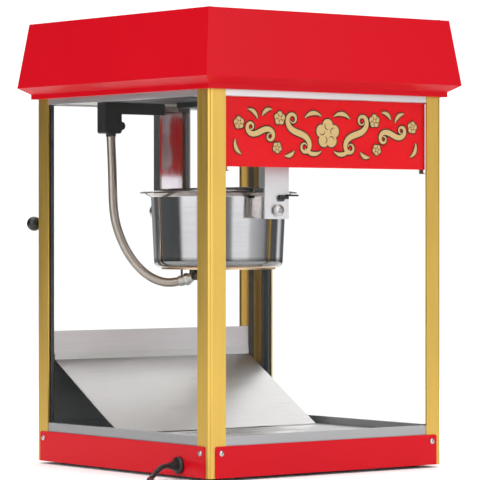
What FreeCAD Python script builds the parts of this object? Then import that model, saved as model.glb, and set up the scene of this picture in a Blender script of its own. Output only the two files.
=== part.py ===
import FreeCAD, Part

import math
import os
import re

import Sketcher

# Countertop popcorn maker: a square glass cabinet under a red dome, with a tilting kettle.
# Frame: +Z up, -Y the customer's side, +Y the operator's side with the door, and the origin
# on the counter at the middle of the footprint. All sizes are in millimetres.

SIZES = {
    # cabinet
    "half": (241.5, "half the cabinet's width and depth, to the outside of the posts"),
    "foot_height": (5, "rubber foot showing under the skirts"),
    "foot_radius": (12, "rubber foot"),
    "foot_place": (205, "foot centre from the middle, along X and Y"),
    "post_leg": (32, "leg of a corner angle"),
    "post_thick": (3, "wall of a corner angle"),
    "post_round": (6, "outer corner of a corner angle"),
    "post_top": (615, "top of the posts and of the top rails"),
    "skirt_top": (55, "top of the red skirts"),
    "skirt_thick": (1.5, "skirt sheet"),
    "skirt_end": (11, "from a cabinet corner to a skirt's end"),
    "sill_top": (70, "top of the sill rails, where the glass stands"),
    "rail_low": (605, "underside of the top rails"),
    "rail_in": (12, "from the outside to the inner face of a rail"),
    "glass_thick": (3, "window glass"),
    "glass_face": (238, "outer face of the windows from the middle"),
    "glass_half": (231, "half the width of a window"),
    "screw_in": (21.7, "skirt screw from the cabinet corner"),
    "screw_high": (44, "skirt screw above the counter"),
    "screw_radius": (4.5, "head of a pan head screw"),
    "head_high": (2.6, "height of a pan head"),
    # dome
    "band_top": (623, "top of the dome's straight lower band"),
    "band_half": (248.9, "half the width of that band"),
    "brow_high": (634, "where the dome is widest"),
    "brow_half": (265.8, "half the dome's greatest width"),
    "crown_high": (742, "top of the dome"),
    "crown_half": (251, "half the width of the dome's top"),
    "dome_thick": (1.5, "dome sheet"),
    "lip_half": (235, "half the opening in the dome's bottom flange"),
    "ceiling_low": (608, "underside of the ceiling panel"),
    "ceiling_half": (229, "half the width of the ceiling panel"),
    "crown_screw": (238, "dome screw from the middle, along X and Y"),
    # sign
    "sign_left": (-206, "left edge of the sign"),
    "sign_right": (212.5, "right edge of the sign"),
    "sign_low": (494, "bottom edge of the sign"),
    "sign_face": (233.5, "front face of the sign from the middle"),
    # kettle
    "kettle_at": (-40, "X of the kettle's axis and of the pivot"),
    "pivot_high": (426, "height of the pivot axis"),
    "bowl_radius": (112.8, "outside of the kettle at the top"),
    "bowl_foot": (107, "outside of the kettle at the bottom"),
    "bowl_low": (332, "underside of the kettle"),
    "bowl_top": (455, "top of the kettle"),
    "bowl_wall": (1.5, "kettle sheet"),
    "bowl_round": (11, "bottom corner of the kettle"),
    "rim_radius": (123, "top edge of the kettle's flared rim"),
    "rim_low": (449, "height where the rim starts to flare"),
    "lid_radius": (131, "round edge of a lid"),
    "lid_trim": (112, "half the length of a lid along the hinge"),
    "lid_low": (457, "underside of the lids"),
    "lid_thick": (1.5, "lid sheet"),
    "lid_lip": (2.5, "depth of a lid's turned-down edge"),
    "lid_hinge": (14, "lid hinge from the kettle's axis"),
    "lid_pin_high": (461, "height of the lid hinges"),
    "lid_pin": (2, "lid hinge rod radius"),
    "knuckle": (4, "rolled edge of a lid, outer radius"),
    "play": (0.05, "radial clearance of a running fit"),
    "shaft_radius": (6, "stirrer shaft and tilt shaft"),
    "shaft_top": (580, "top of the stirrer's tang"),
    "sweep_radius": (92, "reach of the stirrer's blades"),
    # hangers
    "front_hang": (-157, "front face of the front hanger"),
    "front_deep": (16, "depth of the front hanger's flanges"),
    "back_hang": (124, "front edges of the back hanger's flanges"),
    "back_deep": (18, "depth of the back hanger's channel"),
    "back_left": (-70, "left side of the back hanger"),
    "back_right": (-5.5, "right side of the back hanger"),
    "hanger_sheet": (3, "sheet of both hangers"),
    "plunger": (5, "pivot pin radius"),
    "lever_x": (-33, "X of the lock lever's pivot"),
    "lever_high": (446, "height of the lock lever's pivot"),
    "hub_back": (178, "back of the tilt lever's hub"),
    "grip_x": (62, "X of the tilt lever's grip"),
    # drive and lamp
    "plate_reach": (182, "motor plate from the kettle's axis, to the left and right"),
    "plate_front": (-128, "front edge of the motor plate"),
    "plate_back": (98, "back edge of the motor plate"),
    "plate_thick": (1.5, "sheet of the motor plate"),
    "pad_thick": (10, "the plate's pad under the motor, with the sheet"),
    "coupling_low": (571, "lower end of the drive coupling"),
    "coupling_radius": (11, "drive coupling"),
    "tang_half": (2, "half the thickness of the stirrer's tang"),
    "lamp_x": (110, "X of the lamp"),
    "lamp_y": (-190, "Y of the lamp"),
    # outlet box
    "outlet_left": (-199.5, "left side of the outlet box"),
    "outlet_right": (-166, "right side of the outlet box"),
    "outlet_low": (555, "underside of the outlet box"),
    "outlet_front": (100, "front face of the outlet box"),
    "outlet_ear": (7, "round ear on the outlet box"),
    # door
    "door_low": (223, "bottom of the door"),
    "door_face": (242, "inner face of the door"),
    "door_thick": (5, "door panel"),
    "door_left": (-240, "free edge of the door"),
    "door_right": (202, "edge of the door panel, inside its stile"),
    "stile_left": (196.5, "inner edge of the door's stile"),
    "stile_right": (222, "outer edge of the door's stile"),
    "stile_back": (248.2, "back face of the door's stile"),
    "knob_radius": (12.5, "ball knob of the door"),
    "knob_x": (-234, "X of the door's knob"),
    "knob_y": (262, "Y of the door's knob"),
    "knob_high": (405, "height of the door's knob"),
    "pin_x": (234, "X of the door's hinge line"),
    "pin_y": (252, "Y of the door's hinge line"),
    "pin_radius": (2.5, "door hinge pin"),
    "barrel": (4.5, "door hinge barrel, outer radius"),
    # deck and drawer
    "deck_low": (56, "underside of the deck"),
    "deck_half": (228, "half the width of the deck"),
    "drawer_half": (118, "half the width of the crumb drawer"),
    "drawer_low": (12, "underside of the crumb drawer"),
    "drawer_top": (48, "top of the crumb drawer"),
    "drawer_front": (-60, "inner end of the crumb drawer"),
    "apron_high": (173, "back edge of the sloping apron"),
    "apron_low": (59, "front edge of the sloping apron"),
    "apron_reach": (47, "Y of the apron's front edge"),
    # switches
    "switch_high": (685, "height of the rocker switches"),
    "switch_pitch": (52, "from one rocker to the next"),
    "switch_tilt": (8, "rocker's lean when off, in degrees"),
    # cord and conduit
    "cord_y": (-164, "Y of the cord's exit"),
    "cord_high": (22, "height of the cord's exit"),
    "cord_radius": (4.25, "power cord"),
    "relief_long": (20, "strain relief outside the skirt"),
    "coil_x": (-295, "X of the coil's centre"),
    "coil_y": (-508, "Y of the coil's centre"),
    "coil_inner": (34, "inside radius of the coil"),
    "coil_outer": (60, "outside radius of the coil"),
    "coil_high": (16.5, "height of the coil"),
    "conduit_radius": (7.5, "flexible steel conduit"),
}

doc = FreeCAD.newDocument("popcorn_maker")
sheet = doc.addObject("Spreadsheet::Sheet", "Dims")
for line, (alias, (value, meaning)) in enumerate(SIZES.items(), start=1):
    sheet.set(f"A{line}", alias)
    sheet.set(f"B{line}", str(value))
    sheet.set(f"C{line}", meaning)
    sheet.setAlias(f"B{line}", alias)
doc.recompute()

sub_parts = []


def formula(text):
    """A formula for setExpression: each alias in the text becomes its cell of the sheet."""
    return re.sub(r"[a-z_]+", lambda word: "Dims." + word[0] if word[0] in SIZES else word[0], text)


def size(alias):
    """The number that a cell of the sheet holds."""
    return float(sheet.get(alias))


def bind(thing, **formulas):
    """Bind properties of an object to formulas over the sheet's aliases."""
    for name, text in formulas.items():
        thing.setExpression(name, formula(str(text)))
    return thing


def put(thing, x="0", y="0", z="0"):
    """Bind an object's position."""
    for letter, text in zip("xyz", (x, y, z)):
        thing.setExpression("Placement.Base." + letter, formula(str(text)))
    return thing


def block(name, x, y, z):
    """A box between two corners. Each of x, y and z is a low and a high formula."""
    box = doc.addObject("Part::Box", name)
    spans = [f"({high}) - ({low})" for low, high in (x, y, z)]
    bind(box, Length=spans[0], Width=spans[1], Height=spans[2])
    return put(box, x[0], y[0], z[0])


TURNS = {
    "x": FreeCAD.Rotation(FreeCAD.Vector(0, 1, 0), 90),
    "y": FreeCAD.Rotation(FreeCAD.Vector(1, 0, 0), -90),
    "z": FreeCAD.Rotation(),
}


def rod(name, axis, radius, low, high, x="0", y="0", z="0"):
    """A cylinder along an axis, from low to high on it, with its centreline through x, y, z."""
    bar = doc.addObject("Part::Cylinder", name)
    bar.Placement = FreeCAD.Placement(FreeCAD.Vector(), TURNS[axis])
    bind(bar, Radius=radius, Height=f"({high}) - ({low})")
    start = {"x": x, "y": y, "z": z, axis: low}
    return put(bar, start["x"], start["y"], start["z"])


def taper(name, axis, first, last, low, high, x="0", y="0", z="0"):
    """A cone along an axis, with radius first at low and radius last at high."""
    cone = doc.addObject("Part::Cone", name)
    cone.Placement = FreeCAD.Placement(FreeCAD.Vector(), TURNS[axis])
    bind(cone, Radius1=first, Radius2=last, Height=f"({high}) - ({low})")
    start = {"x": x, "y": y, "z": z, axis: low}
    return put(cone, start["x"], start["y"], start["z"])


def ball(name, radius, x, y, z):
    sphere = doc.addObject("Part::Sphere", name)
    return put(bind(sphere, Radius=radius), x, y, z)


def hip(name, low_half, high_half, low, high):
    """A square block whose sides lean, low_half wide at low and high_half wide at high."""
    wedge = doc.addObject("Part::Wedge", name)
    wedge.Placement = FreeCAD.Placement(
        FreeCAD.Vector(), FreeCAD.Rotation(FreeCAD.Vector(1, 0, 0), 90)
    )
    bind(wedge, Xmin=f"-({low_half})", Xmax=low_half, Zmin=f"-({low_half})", Zmax=low_half)
    bind(wedge, X2min=f"-({high_half})", X2max=high_half)
    bind(wedge, Z2min=f"-({high_half})", Z2max=high_half)
    bind(wedge, Ymin="0", Ymax=f"({high}) - ({low})")
    return put(wedge, z=low)


def fuse(name, *pieces):
    joined = doc.addObject("Part::MultiFuse", name)
    joined.Shapes = list(pieces)
    return joined


def group(name, *pieces):
    """Separate solids that make one sub-part."""
    together = doc.addObject("Part::Compound", name)
    together.Links = list(pieces)
    return together


def cut(name, base, *tools):
    result = doc.addObject("Part::Cut", name)
    result.Base = base
    result.Tool = tools[0] if len(tools) == 1 else group(name + "_tools", *tools)
    return result


def common(name, *pieces):
    shared = doc.addObject("Part::MultiCommon", name)
    shared.Shapes = list(pieces)
    return shared


def rounded(name, base, radius, chosen):
    """Fillet the edges of base for which chosen(middle point, edge) holds."""
    doc.recompute()
    fillet = doc.addObject("Part::Fillet", name)
    fillet.Base = base
    edges = []
    for number, edge in enumerate(base.Shape.Edges, start=1):
        middle = edge.valueAt((edge.FirstParameter + edge.LastParameter) / 2)
        if chosen(middle, edge):
            edges.append((number, radius, radius))
    fillet.Edges = edges
    return fillet


def keep(thing, label):
    """Make an object a sub-part, whose label names its file."""
    thing.Label = label
    sub_parts.append(thing)
    return thing


def sketch_on(body, role, name, corners):
    """A closed outline of straight lines in a plane of the body, its corners bound to formulas."""
    drawing = body.newObject("Sketcher::SketchObject", name)
    plane = next(feature for feature in body.Origin.OriginFeatures if feature.Role == role)
    drawing.AttachmentSupport = (plane, [""])
    drawing.MapMode = "FlatFace"
    doc.recompute()
    outline(drawing, corners)
    return drawing


def outline(drawing, corners):
    """Add a closed outline to a sketch and bind its corners to formulas."""
    first = drawing.GeometryCount
    tag = f"c{first}_"
    count = len(corners)
    spots = [FreeCAD.Vector(*(worth(text) for text in corner), 0) for corner in corners]
    for i in range(count):
        drawing.addGeometry(Part.LineSegment(spots[i], spots[(i + 1) % count]), False)
    for i in range(count):
        drawing.addConstraint(
            Sketcher.Constraint("Coincident", first + i, 2, first + (i + 1) % count, 1)
        )
    for i, corner in enumerate(corners):
        for kind, letter, text, value in zip(
            ("DistanceX", "DistanceY"), "xy", corner, (spots[i].x, spots[i].y)
        ):
            number = drawing.addConstraint(
                Sketcher.Constraint(kind, -1, 1, first + i, 1, value)
            )
            drawing.renameConstraint(number, f"{tag}{letter}{i}")
            drawing.setExpression(f"Constraints.{tag}{letter}{i}", formula(text))


def worth(text):
    """The value of a formula over the sheet's aliases."""
    return float(sheet.evalExpression(formula(text)))


def padded(label, role, corners, length, reverse=False):
    """A PartDesign body: an outline padded by a length."""
    body = doc.addObject("PartDesign::Body", label + "_body")
    drawing = sketch_on(body, role, label + "_sketch", corners)
    pad = body.newObject("PartDesign::Pad", label + "_pad")
    pad.Profile = drawing
    pad.Reversed = reverse
    bind(pad, Length=length)
    return body, pad


# ---------------------------------------------------------------- cabinet frame

SIGNS = [(sx, sy) for sx in ("-", "") for sy in ("-", "")]


def span(sign, near, far):
    """Low and high formulas of a stretch from near to far on the side that a sign gives."""
    return (f"-({far})", f"-({near})") if sign == "-" else (near, far)


def corner_posts():
    posts = []
    for sx, sy in SIGNS:
        tag = ("left" if sx else "right") + ("_front" if sy else "_back")
        whole = block(
            "post_" + tag,
            span(sx, "half - post_leg", "half"),
            span(sy, "half - post_leg", "half"),
            ("foot_height", "post_top"),
        )
        inside = block(
            "post_inside_" + tag,
            span(sx, "half - post_leg - 1", "half - post_thick"),
            span(sy, "half - post_leg - 1", "half - post_thick"),
            ("foot_height - 1", "post_top + 1"),
        )
        angle = cut("post_angle_" + tag, whole, inside)
        reach = size("half") - 0.1
        posts.append(
            rounded(
                "post_round_" + tag,
                angle,
                size("post_round"),
                lambda middle, edge: abs(middle.x) > reach and abs(middle.y) > reach
                and edge.Length > 100,
            )
        )
    keep(group("posts", *posts), "corner_posts")


def skirts():
    along = ("-(half - skirt_end)", "half - skirt_end")
    out = ("half", "half + skirt_thick")
    up = ("foot_height", "skirt_top")
    front = block("skirt_front_plate", along, span("-", *out), up)
    back = block("skirt_back_plate", along, out, up)
    mouth = block(
        "drawer_mouth",
        ("-drawer_half - 1", "drawer_half + 1"),
        ("half - 5", "half + 5"),
        ("drawer_low - 1", "drawer_top + 1"),
    )
    left = block("skirt_left_plate", span("-", *out), along, up)
    cord_hole = rod(
        "cord_hole", "x", "cord_radius + 4.5", "-half - 5", "-half + 5", y="cord_y", z="cord_high"
    )
    right = block("skirt_right_plate", out, along, up)
    keep(round_top("skirt_front_round", front), "skirt_front")
    keep(round_top("skirt_back_round", cut("skirt_back_cut", back, mouth)), "skirt_back")
    keep(
        group(
            "skirts_of_sides",
            round_top("skirt_left_round", cut("skirt_left_cut", left, cord_hole)),
            round_top("skirt_right_round", right),
        ),
        "side_skirts",
    )


def round_top(name, plate):
    """Round a skirt's two top corners."""
    end = size("half") - size("skirt_end")
    top = size("skirt_top")

    def at_corner(middle, edge):
        through = abs(edge.Length - size("skirt_thick")) < 0.01
        at_end = abs(abs(middle.x) - end) < 0.01 or abs(abs(middle.y) - end) < 0.01
        return through and at_end and abs(middle.z - top) < 0.01

    return rounded(name, plate, 4, at_corner)


def case_screws():
    """Pan head screws: two through each skirt, and one near each corner of the dome's top."""
    screws = []
    place = "half - screw_in"
    for number, (sign_along, sign_out) in enumerate(SIGNS):
        out = span(sign_out, "half + skirt_thick", "half + skirt_thick + head_high")
        along = f"{sign_along}({place})"
        screws.append(
            rod(f"screw_y{number}", "y", "screw_radius", *out, x=along, z="screw_high")
        )
        screws.append(
            rod(f"screw_x{number}", "x", "screw_radius", *out, y=along, z="screw_high")
        )
        screws.append(
            rod(
                f"screw_top{number}", "z", "screw_radius - 0.5", "crown_high",
                "crown_high + 1.6", x=f"{sign_along}crown_screw", y=f"{sign_out}crown_screw",
            )
        )
    keep(group("screws", *screws), "case_screws")


def rails(label, low, high, sides):
    """Straight rails between the posts, flush with them but for 1 mm."""
    across = ("-(half - post_leg)", "half - post_leg")
    deep = ("half - rail_in", "half - 1")
    bars = []
    for side, sign, along_x in sides:
        spans = (across, span(sign, *deep)) if along_x else (span(sign, *deep), across)
        bars.append(block(f"{label}_{side}", *spans, (low, high)))
    keep(group(label + "_set", *bars), label)


def feet():
    pads = []
    for number, (sx, sy) in enumerate(SIGNS):
        pads.append(
            taper(
                f"foot{number}", "z", "foot_radius - 1.5", "foot_radius", "0", "foot_height",
                x=sx + "foot_place", y=sy + "foot_place",
            )
        )
    keep(group("feet", *pads), "rubber_feet")


def base_pan():
    """The bottom sheet, with two turned-up guides that the drawer slides between."""
    reach = "half - post_thick - 0.5"
    floor = block("pan_floor", (f"-({reach})", reach), (f"-({reach})", reach),
                  ("foot_height", "foot_height + 1.5"))
    guides = [
        block(
            "pan_guide_" + side,
            span(sign, "drawer_half + 1", "drawer_half + 2.5"),
            ("drawer_front - 10", "half - 5"),
            ("foot_height", "drawer_top - 10"),
        )
        for side, sign in (("left", "-"), ("right", ""))
    ]
    keep(fuse("pan", floor, *guides), "base_pan")


def deck():
    """Stainless deck with rows of slots over the crumb drawer."""
    edge = "deck_half"
    corners = [(f"-{edge}", f"-{edge}"), (edge, f"-{edge}"), (edge, edge), (f"-{edge}", edge)]
    body, pad = padded("deck", "XY_Plane", corners, "1.5")
    slots = sketch_on(
        body, "XY_Plane", "deck_slots",
        [("-105", "-50"), ("-101", "-50"), ("-101", "-20"), ("-105", "-20")],
    )
    outline(slots, [("-105", "-8"), ("-101", "-8"), ("-101", "22"), ("-105", "22")])
    pocket = body.newObject("PartDesign::Pocket", "deck_pocket")
    pocket.Profile = slots
    pocket.Type = 1
    pocket.Midplane = True
    doc.recompute()
    row = body.newObject("PartDesign::LinearPattern", "deck_row")
    row.Originals = [pocket]
    row.Direction = (slots, ["H_Axis"])
    row.Length = 204
    row.Occurrences = 18
    body.Tip = row
    doc.recompute()
    if row.Shape.Volume >= pocket.Shape.Volume:
        raise RuntimeError("the deck's slots were not repeated")
    keep(put(body, z="deck_low"), "deck")


def back_walls():
    """The upright panel under the door, and the apron that slopes from it to the deck."""
    keep(
        block(
            "back_sheet",
            ("-(half - post_leg) + 0.5", "half - post_leg - 0.5"),
            ("half - 3", "half - 1.5"),
            ("sill_top", "door_low"),
        ),
        "back_panel",
    )
    body, pad = padded(
        "apron", "YZ_Plane",
        [
            ("half - 3.5", "apron_high"),
            ("half - 3.5", "apron_high + 12"),
            ("half - 5", "apron_high + 12"),
            ("half - 5", "apron_high + 1"),
            ("apron_reach", "apron_low"),
            ("apron_reach + 3", "apron_low"),
        ],
        "2 * (half - post_leg) - 2",
    )
    pad.Midplane = True
    keep(body, "rear_apron")


# ---------------------------------------------------------------- windows and sign

def windows():
    low_high = ("sill_top", "rail_low")
    face = ("glass_face - glass_thick", "glass_face")
    wide = ("-glass_half", "glass_half")
    left = block("glass_of_left", span("-", *face), wide, low_high)
    right = block("glass_of_right", face, wide, low_high)
    keep(group("glasses", left, right), "side_glasses")
    keep(block("glass_of_front", wide, span("-", *face), low_high), "front_glass")
    keep(
        block(
            "sign_board", ("sign_left", "sign_right"), ("-sign_face", "-sign_face + 3"),
            ("sign_low", "rail_low - 0.5"),
        ),
        "sign_panel",
    )


# ---------------------------------------------------------------- dome

def dome():
    skin = "dome_thick"
    outside = fuse(
        "dome_outside",
        hip("dome_band", "band_half", "band_half", "post_top", "band_top"),
        hip("dome_brow", "band_half", "brow_half", "band_top", "brow_high"),
        hip("dome_side", "brow_half", "crown_half", "brow_high", "crown_high"),
    )
    inside = fuse(
        "dome_inside",
        hip("room_band", f"band_half - {skin}", f"band_half - {skin}",
            f"post_top + {skin}", "band_top"),
        hip("room_brow", f"band_half - {skin}", f"brow_half - {skin}", "band_top", "brow_high"),
        hip("room_side", f"brow_half - {skin}", f"crown_half - {skin}", "brow_high",
            f"crown_high - {skin}"),
    )
    mouth = hip("dome_mouth", "lip_half", "lip_half", "post_top - 1", "post_top + 5")
    ports = [
        block(
            f"switch_port{number}",
            (f"{place} - 11", f"{place} + 11"),
            ("crown_half - 10", "brow_half"),
            ("switch_high - 17", "switch_high + 17"),
        )
        for number, place in enumerate(switch_places())
    ]
    keep(cut("dome", outside, inside, mouth, *ports), "dome_shell")


def switch_places():
    return [f"({step}) * switch_pitch" for step in (-1, 0, 1)]


def dome_lean():
    """The lean of the dome's faces from upright, in degrees."""
    rise = size("crown_high") - size("brow_high")
    return math.degrees(math.atan2(size("brow_half") - size("crown_half"), rise))


def switch_face():
    """Y of the dome's back face at the height of the switches."""
    share = (size("switch_high") - size("brow_high")) / (size("crown_high") - size("brow_high"))
    return size("brow_half") - share * (size("brow_half") - size("crown_half"))


def lean_back(thing, extra=0.0):
    """Lean an object that was built upright at Y 0 and Z 0 onto the dome's back face."""
    turn = FreeCAD.Rotation(FreeCAD.Vector(1, 0, 0), dome_lean() + extra)
    thing.Placement = FreeCAD.Placement(FreeCAD.Vector(0, switch_face(), size("switch_high")), turn)
    return thing


def switches():
    """Three rocker switches in their bezels on the operator's side of the dome."""
    frames = []
    for number, (place, name) in enumerate(
        zip(switch_places(), ("rocker_light", "rocker_motor", "rocker_kettle"))
    ):
        plate = block(f"bezel_plate{number}", (f"{place} - 14", f"{place} + 14"), ("0.2", "2.4"),
                      ("-20", "20"))
        can = block(f"bezel_can{number}", (f"{place} - 10.5", f"{place} + 10.5"), ("-18", "0.2"),
                    ("-16.4", "16.4"))
        well = block(f"bezel_well{number}", (f"{place} - 8.5", f"{place} + 8.5"), ("-12", "10"),
                     ("-15", "15"))
        frames.append(cut(f"bezel{number}", fuse(f"bezel_body{number}", plate, can), well))
        paddle = block(f"paddle{number}", (f"{place} - 8", f"{place} + 8"), ("-5", "4.5"),
                       ("-13.5", "13.5"))
        keep(lean_back(group(name + "_solid", paddle), extra=-size("switch_tilt")), name)
    keep(lean_back(group("bezels", *frames)), "switch_bezels")


def ceiling():
    panel = block(
        "ceiling_sheet",
        ("-ceiling_half", "ceiling_half"),
        ("-ceiling_half", "ceiling_half"),
        ("ceiling_low", "ceiling_low + 2"),
    )
    hole = rod("ceiling_hole", "z", "coupling_radius + 5", "ceiling_low - 1", "ceiling_low + 3",
               x="kettle_at")
    keep(cut("ceiling", panel, hole), "ceiling_panel")


def drive():
    """Gearmotor above the ceiling, its mounting plate below, and the coupling that turns."""
    plate = block("drive_plate", ("kettle_at - plate_reach", "kettle_at + plate_reach"),
                  ("plate_front", "plate_back"), ("ceiling_low - plate_thick", "ceiling_low"))
    pad = block("drive_pad", ("kettle_at - 55", "kettle_at + 65"), ("-42", "42"),
                ("ceiling_low - pad_thick", "ceiling_low"))
    plate_hole = rod("drive_plate_hole", "z", "coupling_radius + 3",
                     "ceiling_low - pad_thick - 1", "ceiling_low + 1", x="kettle_at")
    keep(cut("drive_plate_cut", fuse("drive_plate_pad", plate, pad), plate_hole), "motor_plate")

    low = "ceiling_low + 2"
    case = block("gear_case", ("kettle_at - 45", "kettle_at + 45"), ("-36", "36"),
                 (low, "ceiling_low + 42"))
    bore = rod("gear_bore", "z", "8 + play", "ceiling_low", "ceiling_low + 22", x="kettle_at")
    keep(cut("gear_case_cut", case, bore), "gearbox")
    can = rod("motor_can", "z", "34", "ceiling_low + 42", "ceiling_low + 104", x="kettle_at + 8")
    cap = rod("motor_cap", "z", "12", "ceiling_low + 104", "ceiling_low + 112", x="kettle_at + 8")
    keep(fuse("motor_parts", can, cap), "motor")

    stub = rod("coupling_stub", "z", "8", "ceiling_low - 10", "ceiling_low + 20", x="kettle_at")
    fork = rod("coupling_fork", "z", "coupling_radius", "coupling_low", "ceiling_low - 10",
               x="kettle_at")
    slot = block(
        "coupling_slot",
        ("kettle_at - 20", "kettle_at + 20"),
        ("-tang_half - 0.6", "tang_half + 0.6"),
        ("coupling_low - 1", "shaft_top + 2"),
    )
    keep(cut("coupling", fuse("coupling_parts", stub, fork), slot), "drive_coupling")


def lamp():
    base = rod("lamp_base", "z", "19", "ceiling_low - 12", "ceiling_low", x="lamp_x", y="lamp_y")
    cup = rod("lamp_cup", "z", "16", "ceiling_low - 40", "ceiling_low - 12", x="lamp_x",
              y="lamp_y")
    keep(fuse("lamp_holder", base, cup), "lamp_socket")
    neck = taper("bulb_neck", "z", "22", "13", "ceiling_low - 68", "ceiling_low - 40", x="lamp_x",
                 y="lamp_y")
    globe = ball("bulb_globe", "25", "lamp_x", "lamp_y", "ceiling_low - 80")
    keep(fuse("bulb", neck, globe), "lamp_bulb")


# ---------------------------------------------------------------- hangers

def hangers():
    """The plate that holds the kettle in front and the channel that holds it behind."""
    across = ("kettle_at - 25", "kettle_at + 25")
    strip = block("hanger_strip", across, ("front_hang", "front_hang + hanger_sheet"),
                  ("pivot_high - 14", "ceiling_low"))
    foot = block("hanger_foot", across, ("front_hang", "front_hang + front_deep + 12"),
                 ("ceiling_low - 3", "ceiling_low"))
    flanges = [
        block("hanger_flange_" + name, side, ("front_hang", "front_hang + front_deep"),
              ("pivot_high + 36", "ceiling_low"))
        for name, side in (
            ("left", ("kettle_at - 25", "kettle_at - 22.5")),
            ("right", ("kettle_at + 22.5", "kettle_at + 25")),
        )
    ]
    pin_hole = rod("hanger_pin_hole", "y", "plunger + play", "front_hang - 1", "front_hang + 7",
                   x="kettle_at", z="pivot_high")
    lever_hole = rod("hanger_lever_hole", "y", "3 + play", "front_hang - 1", "front_hang + 7",
                     x="lever_x", z="lever_high")
    bar = cut("hanger_bar", fuse("hanger_bars", strip, foot, *flanges), pin_hole, lever_hole)
    keep(bar, "front_hanger")

    tall = ("pivot_high - 22", "ceiling_low")
    deep = ("back_hang", "back_hang + back_deep")
    face = block("channel_face", ("back_left", "back_right"),
                 ("back_hang + back_deep - hanger_sheet", "back_hang + back_deep"), tall)
    left = block("channel_left", ("back_left", "back_left + hanger_sheet + 1"), deep, tall)
    right = block("channel_right", ("back_right - hanger_sheet", "back_right"), deep, tall)
    shaft_hole = rod("channel_hole", "y", "shaft_radius + play", "back_hang",
                     "back_hang + back_deep + 1", x="kettle_at", z="pivot_high")
    keep(cut("channel", fuse("channel_walls", face, left, right), shaft_hole), "back_hanger")


def pivot_controls():
    """The spring plunger that the kettle turns on in front, and the lock lever above it."""
    head = rod("plunger_head", "y", "10.5", "front_hang - 9", "front_hang - 0.6", x="kettle_at",
               z="pivot_high")
    pin = rod("plunger_pin", "y", "plunger", "front_hang - 0.6", "front_hang + 13", x="kettle_at",
              z="pivot_high")
    keep(
        rounded(
            "plunger_round", fuse("plunger_parts", head, pin), 3,
            lambda middle, edge: abs(middle.y - size("front_hang") + 9) < 0.01,
        ),
        "pivot_knob",
    )
    hub = rod("lever_hub", "y", "5.5", "front_hang - 5.5", "front_hang - 0.5", x="lever_x",
              z="lever_high")
    arm = block("lever_arm", ("lever_x - 4", "lever_x + 14"), ("front_hang - 5", "front_hang - 1"),
                ("lever_high - 1.5", "lever_high + 4.5"))
    blade = block("lever_blade", ("lever_x + 10", "lever_x + 31"),
                  ("front_hang - 9", "front_hang - 2"), ("lever_high + 3", "lever_high + 6"))
    stud = rod("lever_stud", "y", "3", "front_hang - 0.5", "front_hang + 6", x="lever_x",
               z="lever_high")
    keep(fuse("lever", hub, arm, blade, stud), "lock_lever")


def power_outlet():
    """The box that the kettle's lead comes out of, and the bar that carries it."""
    box = block("outlet_box", ("outlet_left", "outlet_right"),
                ("outlet_front", "outlet_front + 24"), ("outlet_low", "ceiling_low"))
    case = rounded("outlet_round", box, 4,
                   lambda middle, edge: abs(middle.z - size("outlet_low")) < 0.01
                   and edge.Length < size("outlet_right") - size("outlet_left"))
    ear = rod("outlet_ear_disc", "y", "outlet_ear", "outlet_front + 12", "outlet_front + 24",
              x="outlet_right + outlet_ear + 1.5", z="outlet_low + 13.5")
    root = block("outlet_ear_root", ("outlet_right", "outlet_right + outlet_ear + 1.5"),
                 ("outlet_front + 12", "outlet_front + 24"),
                 ("outlet_low + 13.5 - outlet_ear", "outlet_low + 13.5 + outlet_ear"))
    keep(fuse("outlet", case, ear, root), "receptacle_box")
    keep(
        block("outlet_bar", ("outlet_right", "back_left + 4"), ("back_hang - 8", "back_hang"),
              ("ceiling_low - 19.5", "ceiling_low")),
        "receptacle_bracket",
    )


# ---------------------------------------------------------------- kettle

def bowl_cone(name, grow):
    """The kettle's outer cone, moved outwards by grow."""
    return taper(name, "z", f"bowl_foot + {grow}", f"bowl_radius + {grow}", "bowl_low",
                 "bowl_top", x="kettle_at")


def kettle():
    low = size("bowl_low")
    wall = bowl_cone("bowl_outside", "0")
    body = rounded("bowl_body", wall, size("bowl_round"),
                   lambda middle, edge: abs(middle.z - low) < 0.01)
    flare = taper("bowl_flare", "z", "bowl_radius", "rim_radius", "rim_low", "bowl_top",
                  x="kettle_at")
    mouth = taper("bowl_mouth", "z", "bowl_radius - 2 * bowl_wall", "rim_radius - 2 * bowl_wall",
                  "rim_low", "bowl_top", x="kettle_at")
    hollow = taper("bowl_hollow", "z", "bowl_foot - bowl_wall", "bowl_radius - bowl_wall",
                   "bowl_low + bowl_wall", "bowl_top + 1", x="kettle_at")
    inside = rounded("bowl_inside", hollow, size("bowl_round") - size("bowl_wall"),
                     lambda middle, edge: abs(middle.z - low - size("bowl_wall")) < 0.01)
    keep(cut("bowl", fuse("bowl_parts", body, flare), fuse("bowl_room", inside, mouth)),
         "kettle_bowl")

    keep(rod("heater_disc", "z", "bowl_foot - 12", "bowl_low - 3", "bowl_low", x="kettle_at"),
         "kettle_base")
    cover = block("cover_block", ("kettle_at - 45", "kettle_at - 5"), ("-24", "24"),
                  ("bowl_low - 21", "bowl_low - 3"))
    keep(
        rounded("cover_round", cover, 5,
                lambda middle, edge: middle.z < low - 4 and abs(middle.z - low + 21) > 0.1),
        "terminal_cover",
    )


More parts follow.
